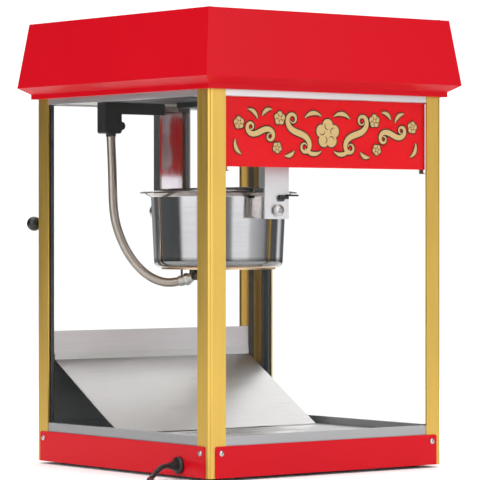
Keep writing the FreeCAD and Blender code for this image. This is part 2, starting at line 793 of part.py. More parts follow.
def brackets():
    """Saddle plates on the kettle's wall, each with a channel: the pin's, and the shaft's."""
    for label, sign, reach, shoulder, top in (
        ("front", "-", "150", "127", "pivot_high + 30"),
        ("back", "", "122.5", "118", "rim_low - 3"),
    ):
        ring = cut(label + "_saddle_ring", bowl_cone(label + "_saddle_out", "2"),
                   bowl_cone(label + "_saddle_in", "0"))
        window = block(label + "_saddle_window", ("kettle_at - 30", "kettle_at + 30"),
                       span(sign, "60", "125"), ("pivot_high - 13", "rim_low - 1"))
        saddle = common(label + "_saddle", ring, window)
        web = block(label + "_web", ("kettle_at - 22", "kettle_at + 22"),
                    span(sign, f"{reach} - 2.5", reach), ("pivot_high - 13", top))
        cheeks = []
        for name, low in (("left", "(-22)"), ("right", "19.5")):
            side = (f"kettle_at + {low}", f"kettle_at + {low} + 2.5")
            cheeks.append(block(f"{label}_cheek_{name}", side, span(sign, "100", reach),
                                ("pivot_high - 10", "rim_low - 3")))
            cheeks.append(block(f"{label}_lip_{name}", side, span(sign, shoulder, reach),
                                ("pivot_high - 13", top)))
        solid = cut(label + "_bracket_trim", fuse(label + "_bracket_all", saddle, web, *cheeks),
                    bowl_cone(label + "_bracket_bowl", "0"))
        radius = "plunger + play" if sign else "shaft_radius"
        hole = rod(label + "_bracket_hole", "y", radius, *span(sign, "115", "160"),
                   x="kettle_at", z="pivot_high")
        keep(cut(label + "_bracket_cut", solid, hole), label + "_bracket")


def crossbar():
    """The bar across the kettle's mouth, with the shaft's bush and the rods of both lids."""
    bar = block("bar_strip", ("kettle_at - 9", "kettle_at + 9"), ("-121", "121"),
                ("bowl_top", "bowl_top + 3"))
    bush = rod("bar_bush", "z", "shaft_radius + 3.5", "bowl_top", "bowl_top + 24",
               x="kettle_at")
    pins, lugs = [], []
    for name, sign in (("left", "-"), ("right", "+")):
        centre = f"kettle_at {sign} lid_hinge"
        pins.append(rod("bar_pin_" + name, "y", "lid_pin", "-117", "117", x=centre,
                        z="lid_pin_high"))
    for name, sign in (("front", "-"), ("back", "")):
        lugs.append(
            block("bar_lug_" + name, ("kettle_at - 17.5", "kettle_at + 17.5"),
                  span(sign, "113", "117"), ("bowl_top", "lid_pin_high + 3.5"))
        )
    bore = rod("bar_bore", "z", "shaft_radius + play", "bowl_top - 1", "bowl_top + 30",
               x="kettle_at")
    keep(cut("bar", fuse("bar_parts", bar, bush, *pins, *lugs), bore), "lid_crossbar")


def lids():
    """Half-moon lids, each with a turned-down edge, a roll around its rod and a low button."""
    for name, sign in (("left", "-"), ("right", "")):
        centre = f"kettle_at {sign or '+'} lid_hinge"
        disc = rod(f"lid_disc_{name}", "z", "lid_radius", "lid_low - lid_lip",
                   "lid_low + lid_thick", x="kettle_at")
        under = rod(f"lid_under_{name}", "z", "lid_radius - lid_thick", "lid_low - lid_lip - 1",
                    "lid_low", x="kettle_at")
        far = f"kettle_at {sign or '+'} (lid_radius + 1)"
        near = f"kettle_at {sign or '+'} (lid_hinge + 1)"
        window = block(
            f"lid_window_{name}",
            (far, near) if sign else (near, far),
            ("-lid_trim", "lid_trim"),
            ("lid_low - lid_lip - 1", "lid_low + 10"),
        )
        plate = common(f"lid_plate_{name}", cut(f"lid_dish_{name}", disc, under), window)
        roll = rod(f"lid_roll_{name}", "y", "knuckle", "-lid_trim", "lid_trim", x=centre,
                   z="lid_pin_high")
        hollow = rod(f"lid_hollow_{name}", "y", "lid_pin + play", "-lid_trim - 1",
                     "lid_trim + 1", x=centre, z="lid_pin_high")
        grip = f"kettle_at {sign or '+'} (lid_radius - 18)"
        tab = rod(f"lid_tab_{name}", "z", "7", "lid_low + lid_thick", "lid_low + 5", x=grip)
        keep(cut(f"lid_{name}_cut", fuse(f"lid_{name}_all", plate, roll, tab), hollow),
             f"lid_{name}")


def tilt_lever():
    """The shaft that carries the kettle at the back, and the arm that tips it."""
    shaft = rod("tilt_shaft", "y", "shaft_radius", "120", "hub_back", x="kettle_at",
                z="pivot_high")
    hub = rod("tilt_hub", "y", "13", "hub_back - 12", "hub_back", x="kettle_at", z="pivot_high")
    arm = block("tilt_arm", ("kettle_at", "grip_x"), ("hub_back - 9", "hub_back - 3"),
                ("pivot_high - 7", "pivot_high + 7"))
    eye = rod("tilt_eye", "y", "9", "hub_back - 9", "hub_back - 3", x="grip_x", z="pivot_high")
    keep(fuse("tilt", shaft, hub, arm, eye), "tilt_lever")
    grip = rod("grip_bar", "y", "10", "hub_back - 3", "hub_back + 33", x="grip_x", z="pivot_high")
    keep(
        rounded("grip_round", grip, 4, lambda middle, edge: edge.Length > 40
                and abs(middle.y - size("hub_back") - 33) < 0.1),
        "handle_knob",
    )


def stirrer():
    """The shaft from the kettle's floor up to the coupling, and its two bent blades."""
    shaft = rod("stir_rod", "z", "shaft_radius", "bowl_low + 6", "coupling_low - 2",
                x="kettle_at")
    tang = block("stir_tang", ("kettle_at - 5", "kettle_at + 5"), ("-tang_half", "tang_half"),
                 ("coupling_low - 10", "shaft_top"))
    foot = rod("stir_foot", "z", "3", "bowl_low + bowl_wall + 0.2", "bowl_low + 6",
               x="kettle_at")
    keep(fuse("stir", shaft, tang, foot), "stirrer_shaft")
    hub = cut("blade_hub", rod("blade_boss", "z", "11", "bowl_low + 7", "bowl_low + 25",
                               x="kettle_at"),
              rod("blade_hub_bore", "z", "shaft_radius", "bowl_low + 6", "bowl_low + 26",
                  x="kettle_at"))
    arms = []
    for name, sign in (("left", "-"), ("right", "")):
        reach = ("kettle_at - sweep_radius", "kettle_at - 10") if sign else (
            "kettle_at + 10", "kettle_at + sweep_radius")
        arms.append(block("blade_" + name, reach, ("-1.5", "1.5"),
                          ("bowl_low + 5", "bowl_low + 19")))
    keep(fuse("blades", hub, *arms), "stirrer_blades")


# ---------------------------------------------------------------- door

HINGES = ("290", "540")


def door():
    keep(
        block("door_sheet", ("door_left", "door_right"), ("door_face", "door_face + door_thick"),
              ("door_low", "rail_low")),
        "door_panel",
    )
    stem = rod("door_stem", "y", "4", "door_face + door_thick", "knob_y - 6", x="knob_x",
               z="knob_high")
    knob = ball("door_ball", "knob_radius", "knob_x", "knob_y", "knob_high")
    keep(fuse("knob", stem, knob), "door_knob")

    channel = block("stile_channel", ("stile_left", "stile_right"),
                    ("door_face - 0.3", "stile_back"), ("door_low - 3", "rail_low + 3"))
    groove = block("stile_groove", ("stile_left - 1", "door_right"),
                   ("door_face", "door_face + door_thick"), ("door_low", "rail_low"))
    keep(cut("stile", channel, groove), "door_stile")
    hinges()


def hinges():
    """Two butt hinges: leaves on the door's stile, brackets with their pins on the post."""
    moving, fixed = [], []
    outer = "stile_back"
    for number, high in enumerate(HINGES):
        leaf = block(f"leaf{number}", ("stile_left + 4", "stile_right"), (outer, f"{outer} + 2"),
                     (f"{high} - 20", f"{high} + 20"))
        tongue = block(f"tongue{number}", ("stile_right - 1", "pin_x"), (outer, f"{outer} + 2"),
                       (f"{high} - 9.8", f"{high} + 9.8"))
        middle = rod(f"barrel{number}", "z", "barrel", f"{high} - 9.8", f"{high} + 9.8",
                     x="pin_x", y="pin_y")
        bore = rod(f"barrel_bore{number}", "z", "pin_radius + play", f"{high} - 12",
                   f"{high} + 12", x="pin_x", y="pin_y")
        moving.append(cut(f"door_leaf{number}", fuse(f"door_leaf_all{number}", leaf, tongue,
                                                    middle), bore))
        plate = block(f"plate{number}", ("pin_x - 8", "half - 1"), ("half", "half + 2"),
                      (f"{high} - 20", f"{high} + 20"))
        pieces = [plate]
        for end, low, top in (("low", "-20", "-10"), ("top", "10", "20")):
            level = (f"{high} + ({low})", f"{high} + ({top})")
            pieces.append(block(f"web{number}{end}", ("pin_x - 2", "pin_x + 2"),
                                ("half + 1", "pin_y"), level))
            pieces.append(rod(f"ring{number}{end}", "z", "barrel", *level, x="pin_x",
                              y="pin_y"))
        pieces.append(rod(f"pin{number}", "z", "pin_radius", f"{high} - 21", f"{high} + 21",
                          x="pin_x", y="pin_y"))
        fixed.append(fuse(f"post_leaf{number}", *pieces))
    keep(group("leaves_of_door", *moving), "hinge_leaves")
    keep(group("leaves_of_post", *fixed), "hinge_brackets")


# ---------------------------------------------------------------- crumb drawer

def crumb_drawer():
    tray = block("tray_block", ("-drawer_half", "drawer_half"), ("drawer_front", "half"),
                 ("drawer_low", "drawer_top"))
    room = block("tray_room", ("-drawer_half + 1.5", "drawer_half - 1.5"),
                 ("drawer_front + 1.5", "half - 2"), ("drawer_low + 1.5", "drawer_top + 1"))
    front = block("tray_front", ("-drawer_half - 5", "drawer_half + 5"),
                  ("half + skirt_thick + 0.3", "half + skirt_thick + 2.3"),
                  ("drawer_low - 4", "drawer_top + 4"))
    neck = block("tray_neck", ("-drawer_half", "drawer_half"), ("half - 2", "half + 2"),
                 ("drawer_low", "drawer_top"))
    keep(fuse("tray", cut("tray_open", tray, room), neck, front), "crumb_drawer")
    keep(
        rounded(
            "pull_round",
            block("pull_bar", ("-30", "30"), ("half + skirt_thick + 2.3",
                                               "half + skirt_thick + 14"), ("27", "33")),
            2,
            lambda middle, edge: middle.y > size("half") + 10,
        ),
        "drawer_pull",
    )


# ---------------------------------------------------------------- cord and conduit

def tube(name, points, radius):
    """A tube along straight runs joined by tangent arcs, as large as the runs allow."""
    spots = [FreeCAD.Vector(*point) for point in points]
    edges, here, radii = [], spots[0], []
    for before, corner, after in zip(spots, spots[1:], spots[2:]):
        back, ahead = before - corner, after - corner
        turn = math.pi - back.getAngle(ahead)
        trim = 0.45 * min(back.Length, ahead.Length)
        radii.append(trim / math.tan(turn / 2))
        back.normalize()
        ahead.normalize()
        start, end = corner + back * trim, corner + ahead * trim
        bisector = back + ahead
        bisector.normalize()
        centre = corner + bisector * math.hypot(trim, radii[-1])
        top = centre - bisector * radii[-1]
        edges.append(Part.LineSegment(here, start).toShape())
        edges.append(Part.Arc(start, top, end).toShape())
        here = end
    edges.append(Part.LineSegment(here, spots[-1]).toShape())
    path = Part.Wire(edges)
    ring = Part.Wire([Part.Circle(spots[0], spots[1] - spots[0], radius).toShape()])
    solid = path.makePipeShell([ring], True, True)
    expected = math.pi * radius**2 * path.Length
    print(f"{name}: length {path.Length:.1f} mm, arc radii", [round(r) for r in radii])
    print(f"{name}: volume {solid.Volume:.0f} of {expected:.0f} mm3")
    if abs(solid.Volume / expected - 1) > 0.02:
        raise RuntimeError(name + " has the wrong volume")
    feature = doc.addObject("Part::Feature", name)
    feature.Shape = solid
    return feature


def cord_route():
    """Points that the power cord's centreline passes near, from the skirt to the coil."""
    tip = -(size("half") + size("skirt_thick") + size("relief_long"))
    floor = size("cord_radius")
    along = size("cord_y")
    return [
        (tip, along, size("cord_high")),
        (tip - 13, along, size("cord_high")),
        (tip - 27, along - 4, 14.5),
        (tip - 41, along - 11, 6.8),
        (tip - 56, along - 23, floor),
        (tip - 70, along - 45, floor),
        (tip - 80, along - 80, floor),
        (tip - 86, along - 122, floor),
        (tip - 84, along - 168, floor),
        (tip - 79, along - 214, floor),
        (tip - 80, along - 260, floor),
        (tip - 86, along - 304, floor),
        (size("coil_x") - 55.5, size("coil_y"), floor),
    ]


def tail_route():
    """Points of the short stretch from the coil to the plug."""
    floor = size("cord_radius")
    x, y = size("coil_x"), size("coil_y")
    return [
        (x + 4, y - 51, 11.5),
        (x + 22, y - 52.5, 9.5),
        (x + 40, y - 57, 10),
        (x + 56, y - 60, 11),
    ]


def power_cord():
    flange = rod("relief_flange", "x", "13.5", "-(half + skirt_thick + 5)",
                 "-(half + skirt_thick)", y="cord_y", z="cord_high")
    sleeve = taper("relief_sleeve", "x", "cord_radius + 1.2", "cord_radius + 4",
                   "-(half + skirt_thick + relief_long)", "-(half + skirt_thick + 5)",
                   y="cord_y", z="cord_high")
    neck = rod("relief_neck", "x", "cord_radius + 4", "-(half + skirt_thick)", "-(half - 8)",
               y="cord_y", z="cord_high")
    keep(fuse("relief", flange, sleeve, neck), "strain_relief")

    radius = size("cord_radius")
    keep(tube("cord_tube", cord_route(), radius), "power_cord")
    keep(tube("tail_tube", tail_route(), radius), "cord_tail")
    outside = rod("coil_outside", "z", "coil_outer", "0", "coil_high", x="coil_x", y="coil_y")
    eye = rod("coil_eye", "z", "coil_inner", "-1", "coil_high + 1", x="coil_x", y="coil_y")
    keep(
        rounded("coil_round", cut("coil", outside, eye), 5,
                lambda middle, edge: middle.z > size("coil_high") - 0.1),
        "cord_coil",
    )
    plug()


def plug():
    """A moulded three-pin plug, lying flat beyond the coil."""
    start = "coil_x + 56"
    middle = "coil_y - 60"
    relief = taper("plug_relief", "x", "cord_radius + 1", "8", start, f"{start} + 20", y=middle,
                   z="11")
    shell = block("plug_shell", (f"{start} + 20", f"{start} + 50"), (f"{middle} - 13",
                  f"{middle} + 13"), ("0", "22"))
    case = rounded("plug_case", shell, 5, lambda middle, edge: abs(edge.Length - 30) < 0.1)
    blades = [
        block(f"plug_blade{number}", (f"{start} + 50", f"{start} + 67"),
              (f"{middle} + ({place}) - 0.75", f"{middle} + ({place}) + 0.75"), ("10", "16.5"))
        for number, place in enumerate(("-6.35", "6.35"))
    ]
    ground = rod("plug_ground", "x", "2.4", f"{start} + 50", f"{start} + 70", y=middle, z="5")
    keep(fuse("plug_all", relief, case, *blades, ground), "power_plug")


def conduit_route():
    """The lead from the outlet box, down beside the kettle and in under it."""
    start = FreeCAD.Vector(-187, 115, 0)
    ahead = FreeCAD.Vector(-85, 0, 0) - start
    ahead.normalize()
    shape = [
        (7.5, 550), (8.4, 527), (9.7, 497), (10.4, 467), (11.2, 438), (14, 412), (21.3, 387),
        (32.5, 362), (48, 339), (67.5, 320), (89, 309), (112, 305.5), (133, 311.5),
    ]
    return [tuple(start + ahead * along + FreeCAD.Vector(0, 0, high)) for along, high in shape]


def conduit():
    route = [FreeCAD.Vector(*point) for point in conduit_route()]
    keep(tube("conduit_tube", route, size("conduit_radius")), "conduit")
    keep(
        rod("top_nut", "z", "conduit_radius + 1", f"{route[0].z}", "outlet_low",
            x=f"{route[0].x}", y=f"{route[0].y}"),
        "box_fitting",
    )
    heading = route[-1] - route[-2]
    nut = doc.addObject("Part::Cylinder", "low_nut")
    nut.Placement = FreeCAD.Placement(
        route[-1], FreeCAD.Rotation(FreeCAD.Vector(0, 0, 1), heading)
    )
    bind(nut, Radius="conduit_radius + 3", Height="14")
    keep(cut("low_nut_trim", nut, doc.getObject("cover_round")), "kettle_fitting")


corner_posts()
skirts()
case_screws()
FOUR = [("front", "-", True), ("back", "", True), ("left", "-", False), ("right", "", False)]
rails("sill_rails", "skirt_top", "sill_top", FOUR)
rails("top_rails", "rail_low", "post_top", FOUR)
feet()
base_pan()
deck()
back_walls()
windows()
dome()
switches()
ceiling()
drive()
lamp()
hangers()
pivot_controls()
power_outlet()
kettle()
brackets()
crossbar()
lids()
tilt_lever()
stirrer()
door()
crumb_drawer()
power_cord()
conduit()

doc.recompute()
for thing in doc.Objects:
    if {"Invalid", "Error"} & set(thing.State):
        raise RuntimeError(f"{thing.Label} is {thing.State}")
os.makedirs("parts", exist_ok=True)
for part in sub_parts:
    if part.Shape.isNull() or not part.Shape.isValid() or not part.Shape.Solids:
        raise RuntimeError(part.Label + " has no valid shape")
    part.Shape.exportStep(f"parts/{part.Label}.step")
print(len(sub_parts), "sub-parts written")
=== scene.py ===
import math

import bmesh
import bpy
from mathutils import Matrix, Vector


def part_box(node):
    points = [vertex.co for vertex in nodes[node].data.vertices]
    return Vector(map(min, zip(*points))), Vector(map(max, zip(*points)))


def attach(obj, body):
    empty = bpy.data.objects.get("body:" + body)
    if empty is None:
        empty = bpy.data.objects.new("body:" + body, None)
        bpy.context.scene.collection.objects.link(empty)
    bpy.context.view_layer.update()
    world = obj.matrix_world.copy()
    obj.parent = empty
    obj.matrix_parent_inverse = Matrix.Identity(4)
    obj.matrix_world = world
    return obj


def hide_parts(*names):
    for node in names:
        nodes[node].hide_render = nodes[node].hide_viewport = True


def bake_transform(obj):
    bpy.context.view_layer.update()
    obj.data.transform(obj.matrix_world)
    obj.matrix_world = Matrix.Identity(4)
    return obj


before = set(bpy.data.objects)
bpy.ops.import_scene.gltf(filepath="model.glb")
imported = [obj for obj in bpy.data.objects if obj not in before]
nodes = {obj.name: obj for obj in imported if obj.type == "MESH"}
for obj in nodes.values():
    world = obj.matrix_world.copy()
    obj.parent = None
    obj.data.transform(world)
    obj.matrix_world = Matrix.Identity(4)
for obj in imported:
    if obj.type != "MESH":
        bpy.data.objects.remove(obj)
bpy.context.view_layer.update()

# The popcorn maker's looks, in the CAD frame: +Z up, -Y the customer's side, +Y the operator's
# side. Lengths are in metres. Outlines, routes and tables are in millimetres, times MM.
MM = 0.001
KETTLE_X = -40 * MM
CORD_RADIUS = 4.25 * MM
COIL = (-0.295, -0.508)


# ---------------------------------------------------------------- camera, floor and lights

def add_object(name, data):
    thing = bpy.data.objects.new(name, data)
    bpy.context.scene.collection.objects.link(thing)
    return thing


def look_at(thing, target):
    thing.rotation_euler = (Vector(target) - thing.location).to_track_quat("-Z", "Y").to_euler()


def make_camera():
    """A long lens just above the middle of the cabinet, facing its front left corner."""
    data = bpy.data.cameras.new("camera")
    data.sensor_width = 36
    data.lens = 215.86
    data.clip_end = 40
    camera = add_object("camera", data)
    camera.location = (-2.9545, -3.8204, 0.3901)
    camera.rotation_euler = (math.radians(89.85), 0, math.radians(-37.77))
    bpy.context.scene.camera = camera


def area_light(name, place, target, width, height, power):
    data = bpy.data.lights.new(name, "AREA")
    data.shape = "RECTANGLE"
    data.size, data.size_y = width, height
    data.energy = power
    lamp = add_object(name, data)
    lamp.location = place
    look_at(lamp, target)


# Brightness of the studio around the object, by the angle from the camera, positive to its right.
SOFT_BOXES = (
    (-180, 0.14), (-162, 0.34), (-148, 0.34), (-140, 0.10), (-72, 0.06), (-64, 0.95),
    (-40, 1.0), (-34, 0.45), (-20, 0.28), (0, 0.24), (14, 0.18), (21, 0.3), (27, 1.0), (52, 1.0),
    (60, 0.6), (86, 0.34), (95, 0.07), (124, 0.08), (131, 0.95), (138, 0.7), (146, 0.10),
    (180, 0.14),
)


def make_world():
    """A white cyclorama for the camera. Gloss sees the studio: soft boxes with dark gaps between."""
    world = bpy.data.worlds.new("studio")
    world.use_nodes = True
    tree = world.node_tree
    background = tree.nodes["Background"]

    place = tree.nodes.new("ShaderNodeTexCoord")
    turn = tree.nodes.new("ShaderNodeMapping")
    turn.inputs["Rotation"].default_value = (0, 0, math.radians(127.7))
    tree.links.new(place.outputs["Generated"], turn.inputs["Vector"])
    around = tree.nodes.new("ShaderNodeTexGradient")
    around.gradient_type = "RADIAL"
    tree.links.new(turn.outputs["Vector"], around.inputs["Vector"])
    boxes = tree.nodes.new("ShaderNodeValToRGB")
    stops = boxes.color_ramp.elements
    while len(stops) < len(SOFT_BOXES):
        stops.new(0.5)
    for stop, (degrees, level) in zip(stops, SOFT_BOXES):
        stop.position = 0.5 + degrees / 360
        stop.color = (level, level, level * 1.01, 1)
    tree.links.new(around.outputs["Fac"], boxes.inputs["Fac"])

    split = tree.nodes.new("ShaderNodeSeparateXYZ")
    tree.links.new(place.outputs["Generated"], split.inputs["Vector"])
    high = tree.nodes.new("ShaderNodeMapRange")
    high.interpolation_type = "SMOOTHSTEP"
    high.inputs["From Min"].default_value = 0.35
    high.inputs["From Max"].default_value = 0.85
    tree.links.new(split.outputs["Z"], high.inputs["Value"])
    overhead = tree.nodes.new("ShaderNodeMix")
    overhead.data_type = "RGBA"
    overhead.inputs[7].default_value = (0.9, 0.9, 0.9, 1)
    tree.links.new(high.outputs["Result"], overhead.inputs[0])
    tree.links.new(boxes.outputs["Color"], overhead.inputs[6])

    seen = tree.nodes.new("ShaderNodeLightPath")
    paper = tree.nodes.new("ShaderNodeMix")
    paper.data_type = "RGBA"
    paper.inputs[7].default_value = (1.25, 1.25, 1.25, 1)
    tree.links.new(seen.outputs["Is Camera Ray"], paper.inputs[0])
    tree.links.new(overhead.outputs[2], paper.inputs[6])
    tree.links.new(paper.outputs[2], background.inputs["Color"])
    bpy.context.scene.world = world
    bpy.context.scene.view_settings.view_transform = "Standard"


def make_studio():
    make_world()
    area_light("key", (-3.0, -0.6, 1.5), (0, 0, 0.45), 3.0, 2.6, 42)
    area_light("fill", (0.5, -3.0, 1.4), (0, 0, 0.4), 2.8, 2.4, 31)
    area_light("rim", (2.2, 2.4, 1.9), (0, 0, 0.5), 2.8, 2.4, 32)

    top = bpy.data.lights.new("top", "SUN")
    top.energy = 1.9
    top.angle = math.radians(70)
    add_object("top", top)

    bpy.ops.mesh.primitive_circle_add(vertices=128, radius=2.4, fill_type="NGON")
    floor = bpy.context.object
    floor.name = "floor"
    floor.data.materials.append(plain("floor_white", (0.93, 0.93, 0.93), 0.8))


# ---------------------------------------------------------------- materials

class Graph:
    """A material's node tree, with short calls for the nodes used here."""

    def __init__(self, name):
        self.material = bpy.data.materials.new(name)
        self.material.use_nodes = True
        self.tree = self.material.node_tree
        self.surface = self.tree.nodes["Principled BSDF"]
        self.where = self.add("ShaderNodeTexCoord").outputs["Object"]

    def add(self, kind, **settings):
        node = self.tree.nodes.new(kind)
        for key, value in settings.items():
            setattr(node, key, value)
        return node

    def link(self, source, target):
        self.tree.links.new(source, target)

    def constant(self, **values):
        """Set the surface's own sockets. An underscore in a name stands for a space."""
        for key, value in values.items():
            self.surface.inputs[key.replace("_", " ")].default_value = value

    def stretched(self, scale):
        node = self.add("ShaderNodeMapping")
        node.inputs["Scale"].default_value = scale
        self.link(self.where, node.inputs["Vector"])
        return node.outputs["Vector"]

    def noise(self, scale, detail=3.0, stretch=(1, 1, 1), roughness=0.5):
        node = self.add("ShaderNodeTexNoise")
        node.inputs["Scale"].default_value = scale
        node.inputs["Detail"].default_value = detail
        node.inputs["Roughness"].default_value = roughness
        self.link(self.stretched(stretch), node.inputs["Vector"])
        return node.outputs["Fac"]

    def ramp(self, value, *stops):
        """A colour or grey ramp through (position, colour or number) stops."""
        node = self.add("ShaderNodeValToRGB")
        elements = node.color_ramp.elements
        while len(elements) < len(stops):
            elements.new(0.5)
        for element, (position, colour) in zip(elements, stops):
            element.position = position
            if isinstance(colour, (int, float)):
                colour = (colour, colour, colour)
            element.color = (*colour, 1)
        self.link(value, node.inputs["Fac"])
        return node.outputs["Color"]

    def mix(self, share, first, second, blend="MIX"):
        node = self.add("ShaderNodeMix", data_type="RGBA", blend_type=blend)
        for socket, value in zip((node.inputs[0], node.inputs[6], node.inputs[7]),
                                 (share, first, second)):
            if isinstance(value, bpy.types.NodeSocket):
                self.link(value, socket)
            elif isinstance(value, tuple):
                socket.default_value = (*value, 1)
            else:
                socket.default_value = value
        return node.outputs[2]

    def colour(self, source):
        self.link(source, self.surface.inputs["Base Color"])

    def rough(self, source):
        self.link(source, self.surface.inputs["Roughness"])

    def bump(self, height, strength, distance):
        node = self.add("ShaderNodeBump")
        node.inputs["Strength"].default_value = strength
        node.inputs["Distance"].default_value = distance
        self.link(height, node.inputs["Height"])
        self.link(node.outputs["Normal"], self.surface.inputs["Normal"])


def shade(colour, factor):
    return tuple(min(1.0, channel * factor) for channel in colour)


def plain(name, colour, roughness):
    """A faintly mottled matt surface."""
    graph = Graph(name)
    graph.colour(graph.ramp(graph.noise(6), (0.3, shade(colour, 0.985)), (0.7, colour)))
    graph.constant(Roughness=roughness)
    return graph.material


def powder_coat(name, colour, roughness=0.3, gloss=0.12):
    """Sprayed and baked paint: a fine, even orange peel."""
    graph = Graph(name)
    cloudy = graph.noise(5.0, 2.0)
    graph.colour(graph.ramp(cloudy, (0.25, shade(colour, 0.96)), (0.75, shade(colour, 1.03))))
    graph.rough(graph.ramp(graph.noise(8.0), (0.3, roughness - 0.02), (0.7, roughness + 0.03)))
    graph.constant(Specular_IOR_Level=gloss, Coat_Weight=0.03, Coat_Roughness=0.25)
    graph.bump(graph.noise(1100.0, 1.0), 0.05, 0.0001)
    return graph.material


def brushed_metal(name, colour, roughness, stretch, contrast=0.07, streak=420.0):
    """Metal with fine straight brush marks. The marks run where the stretch is small."""
    graph = Graph(name)
    marks = graph.noise(streak, 4.0, stretch, 0.65)
    tone = graph.ramp(marks, (0.25, shade(colour, 1 - contrast)), (0.75, shade(colour, 1.04)))
    patches = graph.noise(9.0, 2.0)
    graph.colour(graph.mix(0.12, tone, graph.ramp(patches, (0.3, 0.55), (0.7, 0.95)), "MULTIPLY"))
    graph.rough(graph.ramp(marks, (0.2, roughness - 0.06), (0.8, roughness + 0.10)))
    graph.constant(Metallic=1.0)
    graph.bump(marks, 0.12, 0.0001)
    return graph.material


def spun_steel(name, colour, roughness, *tints):
    """Polished steel with faint rings around Z. Each tint fades out from one height to another."""
    graph = Graph(name)
    rings = graph.noise(260.0, 3.0, (0.03, 0.03, 1.0), 0.6)
    tone = graph.ramp(rings, (0.3, shade(colour, 0.94)), (0.7, colour))
    height = graph.add("ShaderNodeSeparateXYZ")
    graph.link(graph.where, height.inputs["Vector"])
    mottle = graph.noise(30.0, 3.0)
    for strong_at, gone_at, share, tint in tints:
        reach = graph.add("ShaderNodeMapRange")
        reach.inputs["From Min"].default_value = strong_at
        reach.inputs["From Max"].default_value = gone_at
        reach.inputs["To Min"].default_value = share
        reach.inputs["To Max"].default_value = 0.0
        graph.link(height.outputs["Z"], reach.inputs["Value"])
        stain = graph.ramp(mottle, (0.3, shade(tint, 0.8)), (0.7, tint))
        tone = graph.mix(reach.outputs["Result"], tone, stain)
    smears = graph.noise(14.0, 3.0, (1, 1, 0.4))
    graph.colour(tone)
    graph.rough(graph.ramp(smears, (0.3, roughness), (0.75, roughness + 0.06)))
    graph.constant(Metallic=1.0)
    dents = graph.noise(11.0, 1.0, (1, 1, 0.6))
    graph.bump(graph.mix(0.06, dents, rings), 0.35, 0.0016)
    return graph.material


def moulded(name, colour, roughness=0.42, grain=1600.0):
    """Moulded plastic or rubber with a fine spark-eroded grain."""
    graph = Graph(name)
    graph.colour(graph.ramp(graph.noise(40.0), (0.3, shade(colour, 0.8)), (0.7, shade(colour, 1.2))))
    graph.rough(graph.ramp(graph.noise(70.0), (0.3, roughness - 0.05), (0.7, roughness + 0.08)))
    graph.bump(graph.noise(grain, 2.0), 0.25, 0.0002)
    return graph.material


def sheet_glass(name, tint, alpha):
    """A clear pane: nearly all light passes, and its faces keep their gloss."""
    graph = Graph(name)
    graph.colour(graph.ramp(graph.noise(4.0), (0.3, shade(tint, 0.97)), (0.7, tint)))
    graph.rough(graph.ramp(graph.noise(12.0), (0.3, 0.02), (0.7, 0.05)))
    graph.constant(Alpha=alpha, IOR=1.45, Specular_IOR_Level=0.6)
    return graph.material


RED = (0.54, 0.003, 0.011)
SIGN_RED = (0.74, 0.002, 0.007)
GOLD = (0.72, 0.475, 0.11)
STEEL = (0.60, 0.59, 0.585)
STRAW = (0.78, 0.55, 0.34)


